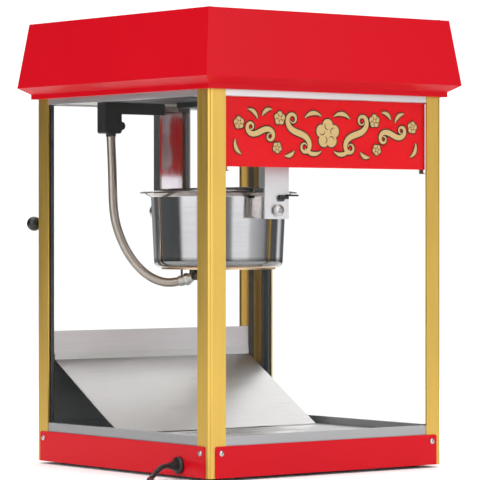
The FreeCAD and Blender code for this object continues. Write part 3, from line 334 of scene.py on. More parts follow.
def make_materials():
    even = (1.0, 1.0, 1.0)
    upright = (1.0, 1.0, 0.02)
    return {
        "red_paint": powder_coat("red_powder_coat", RED),
        "sign_red": powder_coat("sign_acrylic", SIGN_RED, 0.2, 0.05),
        "gold": brushed_metal("gold_anodised", GOLD, 0.42, (1.0, 1.0, 0.015)),
        "sill": brushed_metal("sill_extrusion", (0.42, 0.42, 0.43), 0.42, (0.02, 0.02, 1.0)),
        "top_rail": brushed_metal("top_extrusion", (0.76, 0.74, 0.75), 0.42, (0.02, 0.02, 1.0)),
        "hanger": brushed_metal("brushed_hanger", (0.93, 0.92, 0.94), 0.34, upright),
        "facing": brushed_metal("polished_facing", (0.50, 0.46, 0.50), 0.07, upright, 0.03),
        "mirror": brushed_metal("mirror_channel", (0.74, 0.70, 0.68), 0.10, upright, 0.05),
        "steel": brushed_metal("brushed_stainless", STEEL, 0.30, (0.02, 1.0, 1.0)),
        "panel": brushed_metal("chute_stainless", (0.66, 0.62, 0.63), 0.32, (0.02, 1.0, 1.0)),
        "kettle": spun_steel("kettle_steel", (0.78, 0.77, 0.79), 0.05,
                             (0.344, 0.350, 0.85, (0.17, 0.165, 0.165)), (0.3335, 0.3345, 0.95, STRAW),
                             (0.4505, 0.4490, 0.85, (0.30, 0.24, 0.20))),
        "bracket": spun_steel("bracket_steel", (0.44, 0.41, 0.39), 0.10),
        "lid": spun_steel("lid_steel", (0.24, 0.215, 0.20), 0.2),
        "heat": spun_steel("heat_tinted", (0.50, 0.40, 0.30), 0.30, (0.33, 0.34, 0.8, STRAW)),
        "conduit": brushed_metal("conduit_steel", (0.38, 0.33, 0.29), 0.13, even),
        "zinc": brushed_metal("zinc_fitting", (0.60, 0.59, 0.56), 0.32, even),
        "chrome": brushed_metal("bright_screw", (0.55, 0.54, 0.54), 0.25, even),
        "dark_screw": brushed_metal("dark_screw", (0.10, 0.09, 0.09), 0.35, even),
        "black_metal": powder_coat("black_satin", (0.018, 0.017, 0.018), 0.45, 0.3),
        "black": moulded("black_plastic", (0.009, 0.008, 0.008), 0.36),
        "phenolic": moulded("black_phenolic", (0.005, 0.005, 0.005), 0.25, 2400.0),
        "rubber": moulded("black_rubber", (0.014, 0.014, 0.014), 0.55, 900.0),
        # painted shade: the leg strips' dark brown stands in for the back posts' gold inner faces in
        # shadow
        "seal": moulded("leg_strip_painted_shade", (0.035, 0.022, 0.014), 0.6, 900.0),
        "bead": moulded("glazing_bead", (0.030, 0.030, 0.034), 0.5, 900.0),
        "cord": moulded("cord_jacket", (0.010, 0.010, 0.011), 0.32, 900.0),
        "white": powder_coat("white_ceiling", (0.80, 0.80, 0.78), 0.4, 0.3),
        "ceramic": powder_coat("white_ceramic", (0.84, 0.82, 0.77), 0.25, 0.4),
        "mark": powder_coat("white_mark", (0.86, 0.86, 0.84), 0.4, 0.3),
        "glass": sheet_glass("window_glass", (0.10, 0.13, 0.125), 0.045),
        "bulb": sheet_glass("bulb_glass", (0.95, 0.92, 0.86), 0.6),
        "ornament_gold": powder_coat("ornament_gold", (0.66, 0.47, 0.20), 0.35, 0.1),
        "ornament_dark": powder_coat("ornament_dark", (0.03, 0.008, 0.005), 0.4, 0.05),
        "bronze": brushed_metal("bronze_clip", (0.30, 0.17, 0.08), 0.35, even),
    }


NODE_LOOKS = {
    "red_paint": "dome_shell skirt_front skirt_back side_skirts",
    "sign_red": "sign_panel",
    "gold": "corner_posts door_stile",
    "sill": "sill_rails",
    "top_rail": "top_rails",
    "hanger": "front_hanger",
    "mirror": "back_hanger",
    "steel": "deck rear_apron crumb_drawer base_pan stirrer_shaft stirrer_blades"
             " tilt_lever hinge_leaves hinge_brackets drive_coupling gearbox",
    "panel": "back_panel",
    "kettle": "kettle_bowl",
    "bracket": "front_bracket back_bracket terminal_cover",
    "lid": "lid_crossbar lid_left lid_right",
    "heat": "kettle_base",
    "zinc": "kettle_fitting",
    "chrome": "pivot_knob",
    "black_metal": "motor motor_plate receptacle_bracket",
    "black": "box_fitting receptacle_box lock_lever handle_knob door_knob drawer_pull switch_bezels"
             " rocker_light rocker_motor rocker_kettle",
    "rubber": "rubber_feet strain_relief power_plug power_cord cord_tail cord_coil",
    "white": "ceiling_panel",
    "ceramic": "lamp_socket",
    "glass": "side_glasses front_glass door_panel",
    "bulb": "lamp_bulb",
    "conduit": "conduit",
}

SOFT_EDGES = {
    0.0016: "dome_shell",
    0.0007: "corner_posts skirt_front skirt_back side_skirts drawer_pull crumb_drawer",
    0.0005: "sill_rails top_rails front_hanger back_hanger sign_panel tilt_lever"
            " front_bracket back_bracket lock_lever motor_plate terminal_cover hinge_leaves"
            " switch_bezels rocker_light rocker_motor rocker_kettle door_stile lid_crossbar"
            " box_fitting receptacle_bracket power_plug",
}


def dress_nodes(looks):
    """Give every CAD node its material, and ease the sharp edges of the folded and cut ones."""
    for look, names in NODE_LOOKS.items():
        for name in names.split():
            mesh = nodes[name].data
            mesh.materials.clear()
            mesh.materials.append(looks[look])
    for width, names in SOFT_EDGES.items():
        for name in names.split():
            ease(nodes[name], width)


# ---------------------------------------------------------------- mesh helpers

UP = (0, 0, 1)
BACK = (0, 1, 0)
RIGHT = (1, 0, 0)


def mesh_piece(name, build, material, body, smooth=True):
    """A new piece from a function that fills a bmesh."""
    shape = bmesh.new()
    build(shape)
    bmesh.ops.recalc_face_normals(shape, faces=shape.faces)
    mesh = bpy.data.meshes.new(name)
    shape.to_mesh(mesh)
    shape.free()
    if smooth:
        mesh.polygons.foreach_set("use_smooth", [True] * len(mesh.polygons))
        mesh.set_sharp_from_angle(angle=math.radians(35))
    mesh.materials.append(material)
    piece = add_object(name, mesh)
    if body:
        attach(piece, body)
    return piece


def ease(piece, width, segments=2, angle=40):
    bevel = piece.modifiers.new("eased_edges", "BEVEL")
    bevel.width = width
    bevel.segments = segments
    bevel.limit_method = "ANGLE"
    bevel.angle_limit = math.radians(angle)
    bevel.harden_normals = True


def in_metres(outline):
    return [(a * MM, b * MM) for a, b in outline]


def join_rings(shape, rings, wrap=False):
    """Faces between each ring of vertices and the next, and from the last to the first if wrap."""
    for ring, following in zip(rings, rings[1:] + (rings[:1] if wrap else [])):
        for k in range(len(ring)):
            after = (k + 1) % len(ring)
            shape.faces.new((ring[k], ring[after], following[after], following[k]))


def cap_ends(shape, rings):
    """Close the first and the last ring."""
    shape.faces.new(rings[0])
    shape.faces.new(list(reversed(rings[-1])))


def spin_outline(shape, outline, centre, axis=UP, steps=48):
    """A solid of revolution. The outline's points are (radius, along), closed on the axis."""
    turn = Vector(axis).to_track_quat("Z", "Y").to_matrix()
    rings = []
    for radius, along in outline:
        if radius < 1e-9:
            rings.append([shape.verts.new(Vector(centre) + turn @ Vector((0, 0, along)))])
            continue
        ring = []
        for step in range(steps):
            angle = 2 * math.pi * step / steps
            spot = Vector((radius * math.cos(angle), radius * math.sin(angle), along))
            ring.append(shape.verts.new(Vector(centre) + turn @ spot))
        rings.append(ring)
    for ring, following in zip(rings, rings[1:]):
        for step in range(steps):
            after = (step + 1) % steps
            corners = [ring[step % len(ring)], ring[after % len(ring)],
                       following[after % len(following)], following[step % len(following)]]
            shape.faces.new(list(dict.fromkeys(corners)))
    return rings


def frames_along(points):
    """Tangent and two normals at each point of a line, without twist."""
    frames, side = [], None
    for i in range(len(points)):
        ahead = (points[min(i + 1, len(points) - 1)] - points[max(i - 1, 0)]).normalized()
        if side is None:
            side = ahead.orthogonal().normalized()
        side = (side - ahead * side.dot(ahead)).normalized()
        frames.append((ahead, side, ahead.cross(side)))
    return frames


def tube_along(shape, points, radii, steps=20):
    """A closed tube along points, with one radius for each point."""
    rings = []
    for point, (_, side, up), radius in zip(points, frames_along(points), radii):
        rings.append([
            shape.verts.new(
                point + radius * (side * math.cos(2 * math.pi * k / steps)
                                  + up * math.sin(2 * math.pi * k / steps))
            )
            for k in range(steps)
        ])
    join_rings(shape, rings)
    cap_ends(shape, rings)


def ribbon(shape, line, widths, near, far):
    """A flat strip of varying width along a line of (x, z) points, from y near to y far."""
    rows = []
    for i, ((x, z), width) in enumerate(zip(line, widths)):
        (x0, z0), (x1, z1) = line[max(i - 1, 0)], line[min(i + 1, len(line) - 1)]
        length = math.hypot(x1 - x0, z1 - z0)
        nx, nz = -(z1 - z0) / length * width, (x1 - x0) / length * width
        rows.append([shape.verts.new((px, y, pz)) for px, y, pz in (
            (x + nx, near, z + nz), (x - nx, near, z - nz),
            (x - nx, far, z - nz), (x + nx, far, z + nz))])
    join_rings(shape, rows)
    cap_ends(shape, rows)


def slab(shape, outline, near, far):
    """A flat plate with an (x, z) outline, from y near to y far."""
    rims = [[shape.verts.new((x, y, z)) for x, z in outline] for y in (near, far)]
    cap_ends(shape, rims)
    join_rings(shape, rims)


def profile_bar(shape, outline, low, high, axis="Z"):
    """A bar with a closed outline, from low to high along an axis."""
    place = {
        "Z": lambda a, b, along: (a, b, along),
        "Y": lambda a, b, along: (a, along, b),
        "X": lambda a, b, along: (along, a, b),
    }[axis]
    ends = [[shape.verts.new(place(a, b, along)) for a, b in outline] for along in (low, high)]
    cap_ends(shape, ends)
    join_rings(shape, ends)


def arc(centre, radius, start, sweep, steps=14):
    """Points along a circular arc."""
    turns = [math.radians(start + sweep * step / steps) for step in range(steps + 1)]
    return [(centre[0] + radius * math.cos(a), centre[1] + radius * math.sin(a)) for a in turns]


def nurbs_curve(name, points):
    """An open NURBS curve of order 3 through its end points."""
    data = bpy.data.curves.new(name, "CURVE")
    data.dimensions = "3D"
    data.resolution_u = 8
    spline = data.splines.new("NURBS")
    spline.points.add(len(points) - 1)
    for spot, point in zip(spline.points, points):
        spot.co = (*point, 1)
    spline.order_u = 3
    spline.use_endpoint_u = True
    return add_object(name, data)


def curve_line(curve):
    """The points of a curve's own line."""
    line = bpy.data.meshes.new_from_object(curve)
    points = [vertex.co.copy() for vertex in line.vertices]
    bpy.data.meshes.remove(line)
    return points


def curve_line_without_bevel(curve):
    depth = curve.data.bevel_depth
    curve.data.bevel_depth = 0
    line = curve_line(curve)
    curve.data.bevel_depth = depth
    return line


def evenly(points, pitch):
    """Points at an even pitch along a line."""
    result, left = [points[0].copy()], pitch
    for start, end in zip(points, points[1:]):
        length = (end - start).length
        gone = 0.0
        while length - gone >= left:
            gone += left
            result.append(start.lerp(end, gone / length))
            left = pitch
        left -= length - gone
    if (result[-1] - points[-1]).length > pitch * 0.3:
        result.append(points[-1].copy())
    return result


def relief(shape, centre, axis, rings, steps, height_of):
    """A turned button whose front face follows height_of(across, up) and whose back is flat."""
    out, side, up = axis
    layers = []
    for radius in rings:
        ring = []
        for step in range(steps):
            angle = 2 * math.pi * step / steps
            a, b = radius * math.cos(angle), radius * math.sin(angle)
            ring.append(shape.verts.new(centre + side * a + up * b + out * height_of(a, b)))
        layers.append(ring)
    layers.append([shape.verts.new(spot.co - out * out.dot(spot.co - centre))
                   for spot in layers[-1]])
    join_rings(shape, layers)
    middle = shape.verts.new(centre + out * height_of(0, 0))
    for step in range(steps):
        shape.faces.new((middle, layers[0][(step + 1) % steps], layers[0][step]))
    shape.faces.new(layers[-1])


def pan_head(radius, high):
    """Heights of a pan head with a cross recess."""
    def height_of(a, b):
        far = math.hypot(a, b) / radius
        level = high * (1 - 0.42 * far**4)
        bar, reach = 0.15 * radius, 0.52 * radius
        if (abs(a) < bar and abs(b) < reach) or (abs(b) < bar and abs(a) < reach):
            level -= 0.55 * high * (1 - 0.5 * far)
        return level
    return height_of


def axes(out, roll=0.0):
    """An outward direction with two directions across it, turned by roll degrees."""
    out = Vector(out)
    side = out.orthogonal().normalized()
    side.rotate(Matrix.Rotation(math.radians(roll), 3, out))
    return out, side, out.cross(side)


def screw_head(shape, place, out, radius, high, roll):
    rings = [radius * share for share in (0.1, 0.2, 0.3, 0.42, 0.54, 0.66, 0.8, 0.92, 1.0)]
    relief(shape, Vector(place), axes(out, roll), rings, 32, pan_head(radius, high))


# ---------------------------------------------------------------- screws

def make_screws(looks):
    """The skirts' bright screws and the dome's dark ones."""
    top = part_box("case_screws")[1][2]
    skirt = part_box("skirt_front")[0][1]
    from_corner, skirt_sheet, dome_at = 21.7 * MM, 1.5 * MM, 238
    place, level = -skirt - from_corner - skirt_sheet, 44 * MM
    bright = []
    for sign_along in (-1, 1):
        for sign_out in (-1, 1):
            bright.append(((sign_along * place, -sign_out * skirt, level), (0, sign_out, 0)))
            bright.append(((-sign_out * skirt, sign_along * place, level), (sign_out, 0, 0)))

    def fill_bright(shape):
        for number, (spot, out) in enumerate(bright):
            screw_head(shape, spot, out, 4.5 * MM, 2.6 * MM, 23 + 37 * number)

    def fill_dark(shape):
        for number, (sx, sy) in enumerate(((-1, -1), (-1, 1), (1, -1), (1, 1))):
            spot = (sx * dome_at * MM, sy * dome_at * MM, top - 1.6 * MM)
            screw_head(shape, spot, UP, 4 * MM, 1.6 * MM, 10 + 50 * number)

    for name, fill, look, slot in (
        ("skirt_screws", fill_bright, "chrome", "chrome_screw"),
        ("dome_screws", fill_dark, "dark_screw", "black_metal"),
    ):
        piece = mesh_piece(name, fill, looks[look], "cabinet")
        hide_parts("case_screws")


# ---------------------------------------------------------------- sign ornament

def volute(centre, reach, lean, flip, curl=2.3, steps=110):
    """An S-shaped scroll: a spiral that unwinds and winds up again the other way."""
    x = z = 0.0
    half = []
    for step in range(steps + 1):
        half.append((x, z))
        angle = curl * math.pi * ((step + 0.5) / steps) ** 2
        x += math.cos(angle) / steps
        z += math.sin(angle) / steps
    whole = [(-a, -b) for a, b in reversed(half[1:])] + half
    c, s = math.cos(math.radians(lean)), math.sin(math.radians(lean))
    return [(centre[0] + flip * reach * (a * c - b * s), centre[1] + reach * (a * s + b * c))
            for a, b in whole]


def swelling(count, thin, thick, grow=0.0):
    """Half widths of a stroke that is thin at both ends and thick between."""
    return [grow + thin + (thick - thin) * math.sin(math.pi * i / (count - 1)) ** 1.2
            for i in range(count)]


def puff(centre, radius, lean, lobes=5, grow=0.0, steps=90):
    """The outline of a popped kernel: round lobes around a middle."""
    outline = []
    for step in range(steps):
        angle = 2 * math.pi * step / steps
        bulge = abs(math.cos(lobes * (angle - math.radians(lean)) / 2)) ** 0.55
        reach = radius * (0.66 + 0.34 * bulge) + grow
        outline.append((centre[0] + reach * math.cos(angle), centre[1] + reach * math.sin(angle)))
    return outline


# One half of the sign's ornament, in millimetres from its middle; the other half is its mirror.
# Scrolls: away, up, size, lean, half width. Kernels: away, up, radius, turn. Leaves: away, up,
# radius, start and sweep of the arc, half width.
SCROLLS = ((60, 0, 76, 16, 5.0), (138, 1, 62, -24, 4.5))
KERNELS = ((0, 0, 24, 90), (99, 23, 11, 20), (104, -24, 9, 50), (181, 14, 10, 10))
LEAVES = (
    (28, 8, 25, 42, 84, 3.4), (28, -8, 25, -42, -84, 3.4), (84, -20, 17, -150, 75, 3.2),
    (118, 20, 17, 20, 80, 3.0), (170, -17, 19, -70, 85, 3.2), (163, 16, 20, 90, 75, 3.0),
)


def ornament_strokes(middle):
    """The strokes as (line, half width) and the kernels as (centre, radius, turn), in metres."""
    strokes, puffs = [], []
    for side in (-1, 1):
        for away, up, reach, lean, thick in SCROLLS:
            spot = (middle[0] + side * away * MM, middle[1] + up * MM)
            strokes.append((volute(spot, reach * MM, lean, side), thick * MM))
        for away, up, radius, turn in KERNELS:
            if away or side > 0:
                spot = (middle[0] + side * away * MM, middle[1] + up * MM)
                puffs.append((spot, radius * MM, 90 + side * (turn - 90)))
        for away, up, radius, start, sweep, thick in LEAVES:
            line = arc((0, 0), radius * MM, start, sweep)
            strokes.append(([(middle[0] + side * (away * MM + a), middle[1] + up * MM + b)
                             for a, b in line], thick * MM))
    return strokes, puffs


def make_sign_ornament(looks):
    """Gold scrolls and popped kernels with a dark edge, between the sign and the window."""
    low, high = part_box("sign_panel")
    face = low[1]
    strokes, puffs = ornament_strokes(((low[0] + high[0]) / 2, (low[2] + high[2]) / 2))
    creases = []
    for (x, z), radius, lean in puffs:
        for k in range(5):
            turn = lean + 72 * k
            spot = (x + 0.52 * radius * math.cos(math.radians(turn)),
                    z + 0.52 * radius * math.sin(math.radians(turn)))
            creases.append(arc(spot, 0.24 * radius, turn + 40, 170))

    def fill_dark(shape):
        for number, (line, thick) in enumerate(strokes):
            ribbon(shape, line, swelling(len(line), 0.9 * MM, thick, 2.2 * MM),
                   face + 0.2 * MM, face - (0.30 + 0.01 * number) * MM)
        for number, (spot, radius, lean) in enumerate(puffs):
            slab(shape, puff(spot, radius, lean, grow=2.2 * MM),
                 face + 0.2 * MM, face - (0.50 + 0.01 * number) * MM)

    def fill_gold(shape):
        for number, (line, thick) in enumerate(strokes):
            ribbon(shape, line, swelling(len(line), 0.7 * MM, thick),
                   face - 0.1 * MM, face - (0.66 + 0.01 * number) * MM)
        for number, (spot, radius, lean) in enumerate(puffs):
            slab(shape, puff(spot, radius, lean), face - 0.2 * MM,
                 face - (0.86 + 0.01 * number) * MM)

    def fill_creases(shape):
        for number, line in enumerate(creases):
            ribbon(shape, line, swelling(len(line), 0.1 * MM, 0.8 * MM),
                   face - 0.6 * MM, face - (0.96 + 0.004 * number) * MM)

    for name, fill, look, slot in (
        ("ornament_edge", fill_dark, "ornament_dark", "black_plastic"),
        ("ornament_scrolls", fill_gold, "ornament_gold", "gold_anodised"),
        ("ornament_creases", fill_creases, "ornament_dark", "black_plastic"),
    ):
        piece = mesh_piece(name, fill, looks[look], "cabinet", smooth=False)


def make_sign_clips(looks):
    """Two bent clips that hold the sign's lower corners against the window."""
    low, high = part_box("sign_panel")

    def fill(shape):
        for x in (low[0] + 4 * MM, high[0] - 4 * MM):
            back = low[1] + 3.2 * MM
            for y0, y1, z0, z1 in ((-1.5, 0.8, -7, 9), (-5.2, -1.5, -7, -5.4)):
                corners = [(x - 4 * MM, z0), (x + 4 * MM, z0), (x + 4 * MM, z1), (x - 4 * MM, z1)]
                slab(shape, [(px, low[2] + pz * MM) for px, pz in corners],
                     back + (y0 + 1.5) * MM, back + (y1 + 1.5) * MM)

    piece = mesh_piece("sign_clips", fill, looks["bronze"], "cabinet", smooth=False)
    ease(piece, 0.4 * MM)


def make_seals(looks):
    """Ribbed strips on the back posts' legs, whose dark brown is painted shade for the legs' gold
    inner faces, and beads that hold the side windows' back edges.
    """
    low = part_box("sill_rails")[1][2]
    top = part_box("top_rails")[0][2]
    inner, tip = 238.5 * MM, 209.5 * MM     # a back post's inner face and the end of its leg
    ribs = [(0, 0), (12, 0), (12, -0.7), (10.4, -1.0), (8.4, -0.5), (6.0, -1.1), (3.6, -0.5),
            (1.8, -1.0), (0, -0.7)]
    bead = [(235, 209.5), (235, 229), (231, 229), (231, 226), (233.2, 224), (233.2, 214),
            (231, 212), (231, 209.5)]

    def fill_strips(shape):
        for side in (-1, 1):
            outline = [(side * (tip + a * MM), inner + b * MM) for a, b in ribs]
            profile_bar(shape, outline, low, top)

    def fill_beads(shape):
        for side in (-1, 1):
            profile_bar(shape, [(side * a * MM, b * MM) for a, b in bead], low, top)

    # the strips carry painted shade, dark brown over the legs' inner faces
    for name, fill, look in (("leg_shade_strips", fill_strips, "seal"),
                             ("glazing_beads", fill_beads, "bead")):
        piece = mesh_piece(name, fill, looks[look], "cabinet", smooth=False)


def make_pivot_knob(looks):
    """The spring plunger's knurled grip, with a neck, a groove and a dimple."""
    low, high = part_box("pivot_knob")
    centre = ((low[0] + high[0]) / 2, low[1], (low[2] + high[2]) / 2)
    r = (high[0] - low[0]) / 2
    long_ = high[1] - low[1]
    outline = [
        (0, 0.8), (0.22 * r, 0.8), (0.26 * r, 0.0), (0.66 * r, 0.0), (0.78 * r, 0.7),
        (0.80 * r, 2.0), (0.92 * r, 2.2), (0.92 * r, 6.2), (0.82 * r, 6.6), (0.6 * r, 6.9),
        (0.6 * r, 8.1), (0.47 * r, 8.2), (0.47 * r, long_ / MM - 1.2),
        (0.38 * r, long_ / MM), (0, long_ / MM),
    ]

    def fill(shape):
        rings = spin_outline(shape, [(a, b * MM) for a, b in outline], centre, BACK, 60)
        for number in (6, 7):
            for step, vertex in enumerate(rings[number]):
                if step % 2:
                    away = vertex.co - Vector(centre)
                    vertex.co.x -= 0.05 * away.x
                    vertex.co.z -= 0.05 * away.z

    piece = mesh_piece("plunger_grip", fill, looks["chrome"], "pivot_knob")
    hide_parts("pivot_knob")


def make_kettle_fitting(looks):
    """The conduit's ribbed ferrule, its hex nut and barrel, and the strap they hang from."""
    route = conduit_route()
    end = route[-1]
    heading = (end - route[-2]).normalized()
    across = heading.cross(Vector(UP)).normalized()
    up = across.cross(heading)
    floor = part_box("kettle_bowl")[0][2]
    ribs = [(0, -9.5), (8.0, -9.5)]
    for number in range(4):
        start = -9.0 + 2.2 * number
        ribs += [(8.9, start + 0.3), (8.9, start + 1.3), (8.0, start + 1.7), (8.0, start + 2.2)]
    ribs += [(8.6, 0.4), (8.6, 0.8), (0, 0.8)]
    barrel = [(0, 7.0), (8.6, 7.0), (9.2, 7.6), (9.2, 9.6), (7.6, 10.2), (7.6, 12.8), (6.4, 13.9),
              (0, 13.9)]

    def fill(shape):
        for outline in (ribs, barrel):
            spin_outline(shape, in_metres(outline), end, heading, 40)
        corners = []
        for along, reach in ((0.6, 9.6), (1.4, 10.4), (6.4, 10.4), (7.2, 9.6)):
            corners.append([
                shape.verts.new(end + heading * along * MM + reach * MM * (
                    across * math.cos(math.radians(60 * k + 30))
                    + up * math.sin(math.radians(60 * k + 30))))
                for k in range(6)
            ])
        join_rings(shape, corners)
        cap_ends(shape, corners)

    def fill_strap(shape):
        foot = end - heading * 5 * MM
        low = foot.z + 6 * MM
        side = [(-0.8, low), (0.8, low), (0.8, floor - 1.6 * MM), (8.0, floor - 1.6 * MM),
                (8.0, floor), (-0.8, floor)]
        rows = []
        for reach in (-6 * MM, 6 * MM):
            rows.append([shape.verts.new(
                Vector((foot.x, foot.y, 0)) + Vector((heading.x, heading.y, 0)) * a * MM
                + across * reach + Vector((0, 0, z))) for a, z in side])
        cap_ends(shape, rows)
        join_rings(shape, rows)

    fitting = mesh_piece("conduit_connector", fill, looks["zinc"], "kettle")
    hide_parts("kettle_fitting")
    strap = mesh_piece("conduit_strap", fill_strap, looks["dark_screw"], "kettle", smooth=False)
    ease(strap, 0.3 * MM)


def make_channel_facing(looks):
    """The thin polished sheet in front of the back hanger's face, a little out of true."""
    low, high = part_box("back_hanger")
    left, right, back = low[0] + 4.4 * MM, high[0] - 3.4 * MM, high[1] - 3.2 * MM
    bottom, top = 447 * MM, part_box("ceiling_panel")[0][2] - 12 * MM
    thick, bow, turned = 0.4 * MM, 0.5 * MM, 4.2 * MM

    def fill(shape):
        steps = 24
        front, rear = [], []
        for step in range(steps + 1):
            share = step / steps
            x = left + (right - left) * share
            y = back - thick - turned * share - bow * math.sin(math.pi * share)
            front.append([shape.verts.new((x, y, z)) for z in (bottom, top)])
            rear.append([shape.verts.new((x, y + thick, z)) for z in (bottom, top)])
        for side in (front, rear):
            for one, two in zip(side, side[1:]):
                shape.faces.new((one[0], two[0], two[1], one[1]))
        for k in (0, 1):
            for i in range(steps):
                shape.faces.new((front[i][k], front[i + 1][k], rear[i + 1][k], rear[i][k]))
        for i in (0, steps):
            shape.faces.new((front[i][0], front[i][1], rear[i][1], rear[i][0]))

    piece = mesh_piece("channel_facing", fill, looks["facing"], "cabinet")


def make_outlet(looks):
    """The outlet box: rounded lower corners, an ear and a screwed cover."""
    low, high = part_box("receptacle_box")
    right, radius, lug_radius = -166 * MM, 4 * MM, 7 * MM

    shell = (arc((low[0] + radius, low[2] + radius), radius, 180, 90, 6)
             + arc((right - radius, low[2] + radius), radius, 270, 90, 6)
             + [(right, high[2]), (low[0], high[2])])
    ear = Vector((right + 8.5 * MM, 0, low[2] + 13.5 * MM))
    lug = ([(right - 1 * MM, ear.z - lug_radius)]
           + arc((ear.x, ear.z), lug_radius, -90, 180, 15)
           + [(right - 1 * MM, ear.z + lug_radius)])

    def inset(outline, by):
        cx = sum(x for x, z in outline) / len(outline)
        cz = sum(z for x, z in outline) / len(outline)
        return [(x + (by if x < cx else -by), z + (by if z < cz else -by)) for x, z in outline]

    def fill(shape):
        profile_bar(shape, shell, low[1] + 2.2 * MM, high[1], "Y")
        profile_bar(shape, inset(shell, 1.0 * MM), low[1] + 1.2 * MM, low[1] + 2.4 * MM, "Y")
        profile_bar(shape, inset(shell, 0.4 * MM), low[1], low[1] + 1.3 * MM, "Y")
        profile_bar(shape, lug, low[1] + 12 * MM, high[1], "Y")
        for x, z in ((low[0] + 11 * MM, low[2] + 27 * MM), (right - 9 * MM, low[2] + 15 * MM)):
            screw_head(shape, (x, low[1], z), (0, -1, 0), 3 * MM, 0.9 * MM, 20)

    piece = mesh_piece("outlet_housing", fill, looks["black"], "cabinet", smooth=False)
    ease(piece, 0.5 * MM)
    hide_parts("receptacle_box")


def make_door_knob(looks):
    """A phenolic ball on a collar, with the flat and dimple that its mould leaves."""
    low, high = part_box("door_knob")
    radius = (high[0] - low[0]) / 2 / MM
    centre = ((low[0] + high[0]) / 2, high[1] - radius * MM, (low[2] + high[2]) / 2)
    stem = (low[1] - centre[1]) / MM
    outline = [(0, stem), (6.0, stem), (6.0, stem + 1.2), (4.4, stem + 1.6), (4.4, -radius * 0.93)]
    outline += arc((0, 0), radius, -62, 140, 20)
    outline += [(2.0, radius * 0.985), (1.5, radius * 0.95), (0, radius * 0.94)]

    def fill(shape):
        spin_outline(shape, in_metres(outline), centre, BACK, 56)

    piece = mesh_piece("ball_knob", fill, looks["phenolic"], "door")
    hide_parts("door_knob")


def make_lids(looks):
    """Dished half-moon lids: a thin rolled edge, a pressed rib, a knuckle and a riveted button."""
    at = KETTLE_X
    radius, trim = 131 * MM, 112 * MM
    hinge, pin_high, sheet, thick = 14 * MM, 461 * MM, 457 * MM, 1.4 * MM

    def height(x, y):
        """The top face, by the distance from the kettle's axis as a share of the radius."""
        far = min(1.0, math.hypot(x - at, y) / radius)
        dish = 1.2 * MM * (1 - far**4) - 1.6 * MM * max(0.0, (far - 0.93) / 0.07) ** 2
        rib = 0.9 * MM * math.exp(-(((far - 0.80) / 0.022) ** 2))
        return sheet + thick + dish + rib

    for name, side in (("lid_left", -1), ("lid_right", 1)):
        def fill(shape, side=side):
            near = hinge + 1.5 * MM
            rows = []
            across, along = 40, 56
            for i in range(along + 1):
                y = -trim + 2 * trim * i / along
                reach = math.sqrt(radius**2 - y**2)
                rows.append([
                    (at + side * (near + (reach - near) * math.sin(math.pi / 2 * j / across)), y)
                    for j in range(across + 1)
                ])
            top = [[shape.verts.new((x, y, height(x, y))) for x, y in row] for row in rows]
            under = [[shape.verts.new((x, y, height(x, y) - thick)) for x, y in row]
                     for row in rows]
            for skin in (top, under):
                for one, two in zip(skin, skin[1:]):
                    for j in range(across):
                        shape.faces.new((one[j], one[j + 1], two[j + 1], two[j]))
            for j in range(across):
                for i in (0, along):
                    shape.faces.new((top[i][j], top[i][j + 1], under[i][j + 1], under[i][j]))
            for i in range(along):
                for j in (0, across):
                    shape.faces.new((top[i][j], top[i + 1][j], under[i + 1][j], under[i][j]))
            centre = (at + side * hinge, pin_high)
            outer = arc(centre, 4.0 * MM, 90 - side * 20, -side * 330, 30)
            inner = arc(centre, 2.15 * MM, 90 - side * 350, side * 330, 30)
            profile_bar(shape, outer + inner, -trim, trim, "Y")
            button = [(0, 0), (6.6, 0), (7.0, 0.5), (7.0, 1.1), (6.2, 1.7), (3.4, 2.0),
                      (3.2, 2.6), (2.2, 3.1), (0, 3.2)]
            spot = (at + side * (radius - 18 * MM), 0)
            base = height(*spot) - 0.3 * MM
            spin_outline(shape, in_metres(button), (*spot, base), UP, 32)

        piece = mesh_piece(name + "_dished", fill, looks["lid"], name)
        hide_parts(name)


def make_rocker_marks(looks):
    """Raised on and off marks: a bar above a ring on each rocker's face."""
    for name in ("rocker_light", "rocker_motor", "rocker_kettle"):
        low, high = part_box(name)
        centre = (Vector(low) + Vector(high)) / 2
        faces = [(poly.center, poly.normal) for poly in nodes[name].data.polygons]
        place, out = max(faces, key=lambda item: item[1].y)
        middle = Vector((centre.x, place.y, place.z))
        out = out.normalized()
        side = Vector(RIGHT)
        up = out.cross(side).normalized()
        if up.z < 0:
            up = -up

        def fill(shape, middle=middle, out=out, side=side, up=up):
            sunk, proud = -0.3, 0.25
            bar = [(-0.6, 4.2), (0.6, 4.2), (0.6, 9.2), (-0.6, 9.2)]
            rings = [[shape.verts.new(middle + (side * a + up * b + out * h) * MM)
                      for a, b in bar] for h in (sunk, proud)]
            cap_ends(shape, rings)
            join_rings(shape, rings)
            steps, outside, inside, ring_drop = 32, 2.9, 1.9, 7
            loops = []
            for radius, h in ((outside, sunk), (outside, proud), (inside, proud), (inside, sunk)):
                loops.append([shape.verts.new(middle + (
                    side * radius * math.cos(2 * math.pi * k / steps)
                    + up * (radius * math.sin(2 * math.pi * k / steps) - ring_drop) + out * h) * MM)
                    for k in range(steps)])
            join_rings(shape, loops, wrap=True)

        piece = mesh_piece(name + "_marks", fill, looks["mark"], name, smooth=False)


